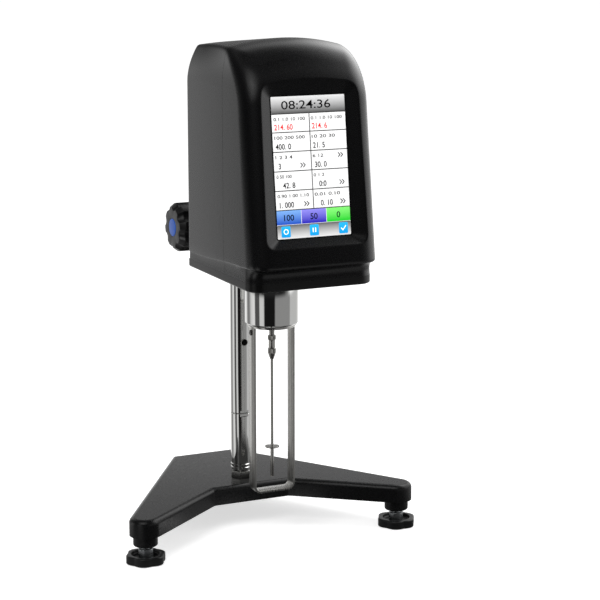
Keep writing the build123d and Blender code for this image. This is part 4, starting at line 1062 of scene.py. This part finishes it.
    def back(self, half: Array) -> Mesh:
        """Fill the back face between mirrored heights, leaving the openings free.

        Args:
            half: Left half of the outline, rising to the middle.

        Returns:
            The flat face.
        """
        stops = sorted({x for hole in self.holes for x in hole[:2]})
        lines = [half[:, 0]] + [np.clip(x, half[:, 0], -half[:, 0]) for x in stops] + [-half[:, 0]]
        across = np.stack(lines, 1)
        grid = np.stack([across, np.full_like(across, self.skin.rear_y),
                         np.broadcast_to(half[:, 2:3], across.shape)], -1)
        points, quads = surface(grid)
        middle = points[quads].mean(1)
        keep = np.ones(len(quads), bool)
        for low_x, high_x, low_z, high_z in self.holes:
            keep &= ~((middle[:, 0] > low_x) & (middle[:, 0] < high_x)
                      & (middle[:, 2] > low_z) & (middle[:, 2] < high_z))
        return points, quads[keep]

    def build(self) -> None:
        """Make both shells."""
        make_piece("head_front_shell", self.front(), SATIN_ABS, "head", ["front_shell"], 34)
        make_piece("head_rear_shell", self.rear(), SATIN_ABS, "head", ["rear_shell"], 34)


# ------------------------------------------------------------------ display
def lettered(text: str, height: float, bold: float = 0.0) -> Mesh:
    """Turn plain figures to a flat mesh, its lower left corner at the origin.

    Args:
        text: Figures and marks.
        height: Height of a figure in mm.
        bold: Widening of the strokes in mm.

    Returns:
        The mesh in the plane z = 0.
    """
    data = bpy.data.curves.new("figures", "FONT")
    data.body = text
    data.size = height / FIGURE_SHARE
    data.offset = bold
    data.resolution_u = 4
    holder = placed("figures", data)
    shape = holder.to_mesh()
    points = np.array([tuple(v.co) for v in shape.vertices])
    faces = np.array([(*f.vertices, -1) if len(f.vertices) == 3 else tuple(f.vertices)
                      for f in shape.polygons])
    holder.to_mesh_clear()
    bpy.data.objects.remove(holder)
    bpy.data.curves.remove(data)
    points = points - (points[:, 0].min(), points[:, 1].min(), 0)
    return points, faces


def bar(x0: float, v0: float, x1: float, v1: float, lift: float = 0.0, radius: float = 0.0) -> Mesh:
    """Make a flat rectangle, with round corners if a radius is given."""
    corners = [(x0, v0), (x1, v0), (x1, v1), (x0, v1)]
    ring = rounded(corners, radius, 5, True) if radius else np.array(corners, float)
    points = raised(ring, lift)
    hub = points.mean(0, keepdims=True)
    count = len(ring)
    turn = np.arange(count)
    faces = np.column_stack([turn, (turn + 1) % count, np.full(count, count), np.full(count, -1)])
    return np.concatenate([points, hub]), faces


def stroke(points: Sequence[Corner], width: float, lift: float = 0.0) -> Mesh:
    """Draw a bent line of even width: each corner moves out along the mean of its normals."""
    line = np.array(points, float)
    step = np.diff(line, axis=0)
    step = step / np.linalg.norm(step, axis=1, keepdims=True)
    before = np.concatenate([step[:1], step])
    after = np.concatenate([step, step[-1:]])
    mean = before + after
    mean = mean / np.linalg.norm(mean, axis=1, keepdims=True)
    normal = np.column_stack([-mean[:, 1], mean[:, 0]])
    stretch = 1 / np.maximum((mean * after).sum(1, keepdims=True), 0.4)
    sides = np.stack([line - normal * stretch * width / 2, line + normal * stretch * width / 2])
    return surface(np.concatenate([sides, np.full((*sides.shape[:2], 1), lift)], -1))


FIGURE_SHARE = 0.73  # height of a figure in units of the font's size


@dataclass(frozen=True)
class Ink:
    """A colour on the lit panel, level or running from its lower to its upper edge."""

    name: str
    low: str
    high: str
    glow: float = 0.3

    def material(self, axis_low: float, axis_high: float) -> bpy.types.Material:
        """Build the material: the colour runs with the height of the object's own points.

        Args:
            axis_low: Z of the lower edge in metres.
            axis_high: Z of the upper edge.

        Returns:
            The material.
        """
        made, tree, shader = new_material(self.name)
        place = add_node(tree, "ShaderNodeTexCoord")
        parts = add_node(tree, "ShaderNodeSeparateXYZ", None, {0: place.outputs["Object"]})
        share = add_node(tree, "ShaderNodeMapRange", None,
                         {"Value": parts.outputs["Z"], "From Min": axis_low, "From Max": axis_high})
        mixed = add_node(tree, "ShaderNodeMix", {"data_type": "RGBA"},
                         {"Factor": share.outputs[0], "A": linear(self.low),
                          "B": linear(self.high)})
        colour = mixed.outputs["Result"]
        feed(tree, shader, {"Roughness": 0.12, "IOR": 1.3, "Emission Strength": self.glow,
                            "Base Color": colour, "Emission Color": colour})
        return made


@dataclass(frozen=True)
class Display:
    """The lit panel behind its glass: a table of plain figures, buttons and a foot bar."""

    half_w: float = 33.0
    half_h: float = 57.4
    face: float = -0.4  # lift of the glass
    step: float = 0.04  # each layer above the last
    divider: float = 0.4
    rule: float = 0.72  # width of the table's lines
    lines: tuple[float, ...] = (43.5, 28.6, 12.9, -2.8, -18.5, -34.2)
    button_low: float = -45.9
    figure: float = 4.7

    def lay(self, name: str, meshes: Sequence[Mesh], ink: Ink, layer: int,
            nodes: Sequence[str] = ()) -> None:
        """Put flat meshes on the glass in one colour.

        Args:
            name: The piece's name.
            meshes: Flat meshes in (x, v).
            ink: Their colour.
            layer: How many steps above the glass.
            nodes: Solids that the piece stands for.
        """
        mesh = joined(list(meshes))
        flat = mesh[0] + (0, 0, self.face + self.step * layer)
        space = ScreenPlane().space(flat)
        piece = make_piece(name, (space, mesh[1]), GLASS_BLACK, "head", nodes)
        low, high = space[:, 2].min() * MM, space[:, 2].max() * MM
        piece.data.materials.clear()
        piece.data.materials.append(ink.material(low, high))
        if piece.data.polygons[0].normal.y > 0:
            piece.data.flip_normals()

    def figures(self) -> tuple[list[Mesh], list[Mesh]]:
        """Set the table's plain figures: the first row red, the rest black."""
        left, right = -self.half_w + 1.6, self.divider + 1.8
        rows = list(zip(self.lines, self.lines[1:]))
        values = [("214. 60", "214. 6"), ("400. 0", "21. 5"), ("3", "30. 0"), ("42. 8", "0:0"),
                  ("1. 000", "0. 10")]
        shifts = [(0.3, 0.3), (0.6, 0.4), (2.4, 1.2), (5.4, 4.2), (1.6, 4.8)]
        made = []
        for (_, low), pair, shift in zip(rows, values, shifts):
            for x, text, move in zip((left, right), pair, shift):
                points, faces = lettered(text, self.figure, 0.07)
                made.append((points * (0.86, 1, 1) + (x + move, low + 1.9, 0), faces))
        return made[:2], made[2:]

    def marks(self) -> list[Mesh]:
        """Set a small scale of plain figures over each value and draw the double arrow heads."""
        made = []
        scales = [("0.1 1.0 10 100", "0.1 1.0 10 100"), ("100 200 500", "10 20 30"),
                  ("1 2 3 4", "6 12"), ("0 50 100", "0 1 2"), ("0.90 1.00 1.10", "0.01 0.10")]
        wide = [(28, 28), (27, 21), (15, 9.5), (13.5, 9.5), (28, 23)]
        for top, pair, widths in zip(self.lines, scales, wide):
            for x, text, width in zip((-self.half_w + 1.6, self.divider + 1.4), pair, widths):
                points, faces = lettered(text, 2.7, 0.03)
                points = points * (width / points[:, 0].max(), 1, 1)
                made.append((points + (x, top - 5.6, 0), faces))
        spots = [(-7.2, self.lines[3] + 4.4), (27.0, self.lines[2] - 4.6),
                 (27.2, self.lines[4] + 4.6), (-5.6, self.lines[5] + 4.4),
                 (27.2, self.lines[5] + 4.6)]
        for x, v in spots:
            for shift in (-1.4, 1.0):
                made.append(stroke([(x + shift - 0.9, v - 1.9), (x + shift + 0.9, v),
                                    (x + shift - 0.9, v + 1.9)], 0.75))
        return made

    def icons(self) -> list[Mesh]:
        """Draw a ring, a bar and a tick on the three squares of the foot bar."""
        turn = np.linspace(0, TURN, 25)
        ring = stroke([(1.9 * math.cos(t) - 25.4, 1.9 * math.sin(t) - 51.6) for t in turn], 0.6)
        pause = [bar(x, -53.4, x + 0.8, -49.8) for x in (-1.6, 0.6)]
        tick = stroke([(24.2, -51.6), (25.8, -53.4), (28.6, -49.8)], 0.7)
        return [ring, *pause, tick]

    def build(self) -> None:
        """Make the glass plate and every layer on it."""
        w, h = self.half_w, self.half_h
        outline = rounded([(-w - 0.7, -h - 0.7), (w + 0.7, -h - 0.7), (w + 0.7, h + 0.7),
                           (-w - 0.7, h + 0.7)], 1.4, 5, True)
        make_piece("touch_glass_plate",
                   plate(outline, -3.4, self.face - 0.02, 0.3, ScreenPlane().space),
                   GLASS_BLACK, "head", ["touch_glass"])
        self.lay("display_ground", [bar(-w, -h, w, h, 0, 1.6)], Ink("lit_panel_white", "efefef",
                                                                   "f4f4f4"), 0)
        self.lay("display_header", [bar(-w, self.lines[0], w, h, 0, 0.8)],
                 Ink("lit_panel_header", "4c4c4c", "e0e0e0"), 1)
        points, faces = lettered("08:24:36", 7.0, 0.05)
        points = points * (44 / points[:, 0].max(), 1, 1)
        self.lay("display_clock", [(points + (-24.0, 47.0, 0), faces)],
                 Ink("lit_panel_black", "0c0c0c", "0c0c0c", 0.0), 2)
        middle, thin = self.divider, self.rule / 2
        rules = [bar(-w, v - thin, w, v + thin) for v in self.lines]
        rules.append(bar(middle - thin, self.lines[-1], middle + thin, self.lines[0]))
        red, black = self.figures()
        self.lay("display_rules", rules, Ink("lit_panel_rules", "303030", "303030", 0.1), 2)
        self.lay("display_red_figures", red, Ink("lit_panel_red", "e02020", "e02020", 0.4), 3)
        self.lay("display_figures", black, Ink("lit_panel_ink", "161616", "161616", 0.0), 3)
        self.lay("display_marks", self.marks(), Ink("lit_panel_marks", "3a3a3a", "3a3a3a", 0.0), 3)
        top, low = self.lines[-1], self.button_low
        for name, text, x0, x1, dark, light in (
                ("left", "100", -w, -11.3, "1a4cba", "7cacea"),
                ("middle", "50", -10.9, 11.3, "1f1ab0", "8f8ae8"),
                ("right", "0", 11.7, w, "16c82a", "86ee78")):
            self.lay(f"display_button_{name}", [bar(x0, low, x1, top - 0.3)],
                     Ink(f"lit_panel_button_{name}", dark, light, 0.3), 1)
            points, faces = lettered(text, 5.0, 0.1)
            points = points + ((x0 + x1 - points[:, 0].max()) / 2, low + 3.0, 0)
            self.lay(f"display_caption_{name}", [(points, faces)],
                     Ink(f"lit_panel_caption_{name}", "0a1426", "0a1426", 0.0), 2)
        self.lay("display_foot", [bar(-w, -h, w, low - 0.3, 0, 0.8)],
                 Ink("lit_panel_foot", "e2e2e2", "5e5e5e"), 1)
        self.lay("display_keys", [bar(x, -56.2, x + 8.2, -47.2, 0, 1.0) for x in (-29.6, -4.2, 22.2)],
                 Ink("lit_panel_cyan", "189ce0", "2cb4f0", 0.35), 2)
        self.lay("display_icons", self.icons(), Ink("lit_panel_icons", "ffffff", "ffffff", 0.7), 3)


# ------------------------------------------------------------------ levelling feet
@dataclass(frozen=True)
class LevellingFoot:
    """A star knob on a threaded stud, with a rubber pad under it."""

    side: str
    knob_r: float = 17.4
    valley: float = 1.9  # depth between the lobes
    lobes: int = 6
    low: float = 0.6
    top: float = 8.0
    dish_r: float = 12.3
    dish_floor: float = 5.0
    stud_r: float = 4.0
    thread: float = 0.45
    pitch: float = 1.25
    stud_top: float = 33.0
    hub_r: float = 6.4
    hub_top: float = 13.0
    pad_r: float = 11.0
    pad_top: float = 1.8

    def centre(self) -> Point:
        """Middle of the foot on the floor, read from its solid."""
        low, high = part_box(f"foot_stud_{self.side}")
        return ((low.x + high.x) / 2 / MM, (low.y + high.y) / 2 / MM, 0.0)

    def lobe(self, turn: Array, height: Array) -> Array:
        """Radius change of a lobed rim: a flattened cosine wave, lobes broad and valleys tight."""
        wave = (1 + np.cos(self.lobes * turn)) / 2
        return -self.valley * (1 - wave ** 0.7) + 0 * height

    def helix(self, turn: Array, height: Array) -> Array:
        """Radius change of a thread: a triangle wave of height less turn, a pitch long."""
        phase = np.mod(height / self.pitch - turn / TURN, 1.0)
        run = np.clip((height - self.hub_top) / self.pitch, 0, 1)
        return -self.thread * 2 * np.abs(phase - 0.5) * run

    def build(self) -> None:
        """Make the knob, the stud and the pad."""
        body, spot = f"foot_{self.side}", self.centre()
        outer = rounded([(0, self.low), (self.knob_r, self.low), (self.knob_r, self.top),
                         (self.dish_r, self.top), (self.dish_r - 0.4, self.dish_floor),
                         (0, self.dish_floor)], (0, 1.0, 1.1, 0.7, 1.2, 0))
        rim = turned(outer, spot, 144, swell=self.lobe)
        # The lobes belong to the rim only: the dish and the middle stay round
        plain = turned(outer, spot, 144)[0]
        weight = np.clip((np.hypot(*(plain[:, :2] - np.array(spot[:2])).T) - self.dish_r)
                         / (self.knob_r - self.dish_r), 0, 1)[:, None]
        rim = (plain * (1 - weight) + rim[0] * weight, rim[1])
        make_piece(f"star_knob_{self.side}_lobed", rim, PHENOLIC, body,
                   [f"star_knob_{self.side}"])
        shank = np.concatenate([
            rounded([(0, self.pad_top), (self.stud_r, self.pad_top),
                     (self.stud_r, self.dish_floor)], 0.3),
            rounded([(self.hub_r, self.dish_floor), (self.hub_r, self.hub_top),
                     (self.stud_r, self.hub_top)], 0.8),
            np.column_stack([np.full(150, self.stud_r),
                             np.linspace(self.hub_top + 0.05, self.stud_top - 1, 150)]),
            [(self.stud_r - 1, self.stud_top), (0, self.stud_top)]])
        make_piece(f"foot_stud_{self.side}_threaded", turned(shank, spot, 48, swell=self.helix),
                   ZINC_STEEL, body, [f"foot_stud_{self.side}"])
        r, top = self.pad_r, self.pad_top
        sole = rounded([(0, 0), (r - 0.3, 0), (r, 0.3), (r, top), (0, top)], (0, 0.2, 0.2, 0.2, 0))
        make_piece(f"foot_pad_{self.side}_moulded", turned(sole, spot, 72), RUBBER, body,
                   [f"foot_pad_{self.side}"])


# ------------------------------------------------------------------ column
@dataclass(frozen=True)
class Column:
    """The chromed column: a hexagon to tighten it by, a joint with wrench flats, a cross hole."""

    y: float = 37.3
    radius: float = 9.25
    base: float = 40.8
    hex_across: float = 16.4
    hex_top: float = 48.8
    joint: float = 102.2
    flat_half: float = 2.8  # half the height of the wrench flats
    flat_depth: float = 0.95
    flat_turn: float = -1.571  # direction of one flat, radians from +X
    top: float = 425.0
    rings: tuple[Corner, ...] = ((51.4, 53.1), (54.4, 56.0))  # two grooves over the hexagon
    groove: float = 0.5  # their depth and the width of their slopes
    hole_z: float = 168.2
    hole_r: float = 2.9

    def hexed(self, turn: Array, height: Array) -> Array:
        """Radius change from a circle over the corners to a hexagon: r = half / cos(angle)."""
        sector = np.mod(turn, TURN / 6) - TURN / 12
        half = self.hex_across / 2
        corner = half / math.cos(TURN / 12)
        return half / np.cos(sector) - corner + 0 * height

    def flats(self, turn: Array, height: Array) -> Array:
        """Radius change of two flats, front and back, between two heights."""
        face = self.radius - self.flat_depth
        reach = face / np.maximum(np.abs(np.cos(turn - self.flat_turn)), 1e-3)
        cut = np.minimum(reach - self.radius, 0)
        return cut * (np.abs(height - self.joint) < self.flat_half)

    def joint_end(self, way: int) -> list[Corner]:
        """Draw one length's end at the joint, eased, with rows at the end of the flats.

        Args:
            way: 1 for the length above the joint, -1 for the one below.

        Returns:
            Points from the axis outwards.
        """
        r, half = self.radius, self.flat_half
        return [(out, self.joint + way * away)
                for out, away in ((0, 0.1), (r - 0.8, 0.1), (r, 0.7), (r, half - 0.01),
                                  (r, half + 0.01))]

    def build(self) -> None:
        """Make the hexagon, the lower and the upper length, a black disc of painted shade in the cross
        hole, and the hole's rim.
        """
        spot = (0.0, self.y, 0.0)
        corner = self.hex_across / 2 / math.cos(TURN / 12)
        nut = turned(rounded([(0, self.base), (corner, self.base), (corner, self.hex_top - 1.2),
                              (corner - 1.3, self.hex_top), (0, self.hex_top)],
                             (0, 0.3, 0.3, 0.3, 0), 3), spot, 144, swell=self.hexed)
        make_piece("column_hexagon", nut, SATIN_STEEL, "stand", (), 25)
        r, groove = self.radius, self.groove
        lower = [(0, 26.0), (4, 26.0), (4, self.hex_top - 0.5), (r - 0.7, self.hex_top - 0.4),
                 (r, self.hex_top + 0.5)]
        for low, high in self.rings:
            lower += [(r, low), (r - groove, low + groove), (r - groove, high - groove), (r, high)]
        lower += [(r, 75), (r, 95)] + self.joint_end(-1)[::-1]
        upper = self.joint_end(1) + [(r, z) for z in (140, 200, 260, 320, 380, self.top)]
        upper.append((0, self.top))
        for name, node, profile in (("column_lower_length", "column_lower", lower),
                                    ("column_upper_length", "column_upper", upper)):
            make_piece(name, turned(np.array(profile, float), spot, 180, swell=self.flats),
                       BRIGHT_CHROME, "stand", [node], 25)
        # A matt black disc in the mouth of the cross hole: painted shade for the hole's dark depth
        rim = turned(np.array([(0, -0.5), (self.hole_r - 0.1, -0.5), (self.hole_r - 0.1, 0.2),
                               (0, 0.2)]), (0.0, self.y - self.radius - 0.05, self.hole_z), 48, 1)
        make_piece("column_cross_hole", rim, PAINTED_HOLE_SHADE, "stand")
        ring = turned(rounded([(self.hole_r - 0.1, -0.3), (self.hole_r + 0.5, -0.3),
                               (self.hole_r + 0.5, 0.5), (self.hole_r - 0.1, 0.5)], 0.1, 2, True),
                      (0.0, self.y - self.radius - 0.1, self.hole_z), 48, 1)
        make_piece("column_cross_hole_rim", ring, SATIN_STEEL, "stand")


# ------------------------------------------------------------------ measuring axis
@dataclass(frozen=True)
class MeasuringHead:
    """The chromed cup under the head, its ring and the strip that guards the spindle."""

    y: float = -32.0
    cup_r: float = 23.3
    cup_top: float = 243.0
    cup_low: float = 197.5
    ring_low: float = 195.6
    guard_half: float = 19.4
    guard_thick: float = 2.0
    guard_wide: float = 11.4
    guard_low: float = 47.4
    guard_corner: float = 6.5
    guard_edge: float = 0.21  # easing of the strip's long edges
    bush_r: float = 5.0
    bush_low: float = 193.6
    screw_z: float = 191.0

    def build(self) -> None:
        """Make the cup, the ring, the bush and the guard with its screws."""
        spot = (0.0, self.y, 0.0)
        r = self.cup_r
        cup = rounded([(0, self.cup_top), (r, self.cup_top), (r, self.cup_low + 1.9),
                       (r - 1.4, self.cup_low + 0.5), (0, self.cup_low + 0.5)],
                      (0, 0.2, 0.4, 0.3, 0), 4)
        make_piece("measuring_cup", turned(cup, spot, 192), BRIGHT_CHROME, "head", ["cup"],
                   40)
        ring = rounded([(0, self.cup_low + 0.5), (r - 1.6, self.cup_low + 0.5),
                        (r - 1.6, self.cup_low - 0.4), (r - 2.5, self.cup_low - 0.7),
                        (r - 2.7, self.ring_low), (0, self.ring_low)],
                       (0, 0.3, 0.2, 0.2, 0.4, 0), 4)
        make_piece("measuring_cup_ring", turned(ring, spot, 192), SATIN_STEEL, "head",
                   ["guard_collar"], 40)
        bush = rounded([(0, self.bush_low), (self.bush_r - 0.4, self.bush_low),
                        (self.bush_r, self.bush_low + 0.4), (self.bush_r, self.cup_low + 3),
                        (0, self.cup_low + 3)], 0.2, 3)
        make_piece("spindle_bush_turned", turned(bush, spot, 64), SATIN_STEEL, "head",
                   ["spindle_bush"])
        self.guard()

    def guard(self) -> None:
        """Bend the strip to a U with eased edges and put a screw through each leg."""
        h, t, w, low = self.guard_half, self.guard_thick, self.guard_wide / 2, self.guard_low
        top = self.cup_low - 0.6
        outer = rounded([(-h, top), (-h, low), (h, low), (h, top)], self.guard_corner, 14)
        inner = rounded([(t - h, top), (t - h, low + t), (h - t, low + t), (h - t, top)],
                        self.guard_corner - t, 14)
        section = rounded([(0, -w), (1, -w), (1, w), (0, w)], self.guard_edge, 3, True)
        rows = []
        for share, depth in section:
            line = outer + (inner - outer) * share
            rows.append(np.column_stack([line[:, 0], np.full(len(line), self.y + depth),
                                         line[:, 1]]))
        tube = np.stack(rows, 1)
        make_piece("spindle_guard_strip", surface(tube, True, True, True), BRUSHED_STRIP, "head",
                   ["spindle_guard"], 30)
        origin = (0.0, 0.0, 0.0)
        dome = turned(rounded([(0, 0), (2.5, 0), (2.5, 0.7), (1.9, 1.3), (0, 1.3)],
                              (0, 0, 0.3, 0.3, 0), 4), origin, 40, 0)
        slot = turned(np.array([(0, 1.25), (1.0, 1.25), (1.0, 1.34), (0, 1.34)]), origin, 6, 0)
        heads = [(points * (side, 1, 1) + (side * h, self.y, self.screw_z), quads)
                 for side in (-1, 1) for points, quads in (dome, slot)]
        make_piece("guard_screw_heads", joined(heads), DARK_STEEL, "head", ["guard_screws"])


@dataclass(frozen=True)
class Spindle:
    """The hanging spindle: coupling with two knurled bands, rod, thin disc and tail."""

    y: float = -32.0
    top: float = 187.0
    low: float = 165.8
    disc_z: float = 87.3
    end: float = 60.0
    rod_r: float = 1.22
    tail_r: float = 1.55
    disc_r: float = 6.35
    teeth: int = 28
    tooth: float = 0.28  # depth of the knurl

    def knurl(self, turn: Array, height: Array) -> Array:
        """Radius change of a straight knurl on the two bands: a cosine wave round the turn."""
        upper = (height > self.top - 3.6) & (height < self.top - 0.3)
        lower = (height > self.low + 5.8) & (height < self.low + 9.2)
        return self.tooth / 2 * (np.cos(self.teeth * turn) - 1) * (upper | lower)

    def build(self) -> None:
        """Make the shaft's end, the coupling, the rod and the disc."""
        spot = (0.0, self.y, 0.0)
        t, z = self.top, self.low
        body = [(0, t + 0.02), (2.9, t), (3.55, t - 0.35), (3.55, t - 0.5), (3.55, t - 3.5),
                (3.5, t - 3.7), (3.0, t - 4.1), (2.9, t - 4.4), (2.9, z + 10.2), (3.0, z + 9.8),
                (3.5, z + 9.4), (3.55, z + 9.1), (3.55, z + 5.9), (3.5, z + 5.6), (3.2, z + 4.6),
                (1.75, z + 0.5), (1.4, z), (0, z)]
        make_piece("spindle_coupling_knurled", turned(np.array(body, float), spot, 168,
                                                      swell=self.knurl),
                   BRIGHT_STEEL, "spindle", ["spindle_coupling"], 30)
        r, tail = self.rod_r, self.tail_r
        rod = rounded([(0, z + 0.1), (r, z + 0.1), (r, self.disc_z), (tail, self.disc_z - 0.2),
                       (tail, self.end), (0, self.end)], (0, 0, 0, 0.3, 1.4, 0), 5)
        make_piece("spindle_rod_drawn", turned(rod, spot, 40), BRIGHT_STEEL, "spindle",
                   ["spindle_rod"], 40)
        disc = rounded([(0, self.disc_z - 0.55), (self.disc_r, self.disc_z - 0.55),
                        (self.disc_r, self.disc_z + 0.55), (0, self.disc_z + 0.55)],
                       (0, 0.25, 0.25, 0), 3)
        make_piece("spindle_disc_thin", turned(disc, spot, 96), POLISHED_STEEL, "spindle",
                   ["spindle_disc"], 40)


# ------------------------------------------------------------------ lift knob
@dataclass(frozen=True)
class LiftKnob:
    """The knob on the pinion's shaft: eight finger scallops and a blue cap."""

    face_x: float = -57.4
    depth: float = 19.0
    flat_r: float = 13.0  # inside it the knob is round; the scallops grow from here out
    slope: float = 3.6  # width of the sloping edge of the face
    rim: float = 4.6  # depth of that edge
    radius: float = 21.8
    scallops: int = 8
    phase: float = TURN / 32
    bite: float = 2.7
    scallop_r: float = 7.0
    cap_r: float = 7.8

    def swell(self, turn: Array, height: Array) -> Array:
        """Radius change of the scallops: circles round the rim bite into it.

        At a turn a from a scallop's middle, the bite's edge lies at
        D cos(a) - sqrt(s^2 - (D sin a)^2), D the distance of its centre, s its radius.
        """
        away = self.radius + self.scallop_r - self.bite
        sector = np.mod(turn + self.phase, TURN / self.scallops) - TURN / self.scallops / 2
        inside = self.scallop_r ** 2 - (away * np.sin(sector)) ** 2
        edge = away * np.cos(sector) - np.sqrt(np.maximum(inside, 0))
        depth = np.where(inside > 0, np.maximum(self.radius - edge, 0), 0)
        return -depth + 0 * height

    def build(self) -> None:
        """Make the knob with its eased, scalloped rim and the cap."""
        low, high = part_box("lift_knob")
        spot = (0.0, (low.y + high.y) / 2 / MM, (low.z + high.z) / 2 / MM)
        face, back, r = self.face_x, self.face_x + self.depth, self.radius
        profile = [(0, face + 0.5), (self.cap_r + 0.3, face + 0.5), (self.cap_r + 0.3, face),
                   (r - self.slope, face), (r - 0.2, face + self.rim), (r - 0.2, back - 0.1),
                   (0, back - 0.1)]
        core = rounded(profile, (0, 0, 0.3, 1.0, 1.6, 1.0, 0), 6)
        plain = turned(core, spot, 288, 0)[0]
        cut = turned(core, spot, 288, 0, swell=self.swell)
        away = np.hypot(plain[:, 1] - spot[1], plain[:, 2] - spot[2])
        weight = np.clip((away - self.flat_r) / (r - self.slope - self.flat_r), 0, 1)[:, None]
        make_piece("lift_knob_scalloped", (plain * (1 - weight) + cut[0] * weight, cut[1]),
                   PHENOLIC, "lift_drive", ["lift_knob"], 40)
        cap = rounded([(0, face - 0.35), (self.cap_r, face - 0.35), (self.cap_r, face + 1.5),
                       (0, face + 1.5)], (0, 0.5, 0, 0), 5)
        make_piece("lift_knob_cap_moulded", turned(cap, spot, 96, 0), BLUE_NYLON, "lift_drive",
                   ["lift_knob_cap"], 40)


# ------------------------------------------------------------------ main
def clear_defaults() -> None:
    """Remove what a new Blender file holds."""
    for thing in list(bpy.data.objects):
        bpy.data.objects.remove(thing)


def main() -> None:
    """Load the solids, dress them, build the new pieces and the studio."""
    logging.basicConfig(level=logging.INFO, format="%(name)s %(message)s")
    clear_defaults()
    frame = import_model()
    nodes = frame["nodes"]
    bpy.context.scene.view_settings.view_transform = "Standard"
    Camera().build()
    Studio().build()
    Housing().build()
    Display().build()
    for side in ("left", "right", "rear"):
        LevellingFoot(side).build()
    Column().build()
    MeasuringHead().build()
    Spindle().build()
    LiftKnob().build()
    dress(nodes, STOVED_IRON, "base_casting")
    dress(nodes, ZINC_STEEL, "rack", "tie_washer", "tie_nut", "skirt_screws", "head_bolts",
          "cover_screws", "pinion", "motor_pillars", "upper_bearing", "lower_bearing")
    dress(nodes, GRAINED_ABS, "skirt_plate")
    dress(nodes, PHENOLIC, "column_cap")
    dress(nodes, TURNED_STAINLESS, "drive_shaft", "motor_shaft", "pinion_shaft")
    dress(nodes, BRONZE, "column_bushes", "pinion_bushes")
    dress(nodes, DARK_ANODISED, "slide_block", "block_cover")
    dress(nodes, ANODISED, "chassis", "bearing_housing", "motor_plate", "spring_coupler")
    dress(nodes, BLACK_NYLON, "power_inlet", "switch_frame", "data_port", "switch_rocker",
          "display_panel")
    dress(nodes, BRASS, "inlet_pins", "probe_socket", "board_posts")
    dress(nodes, LAMINATE, "main_board", "power_board")
    dress(nodes, ENAMEL, "drive_motor")


if __name__ == "__main__":
    main()
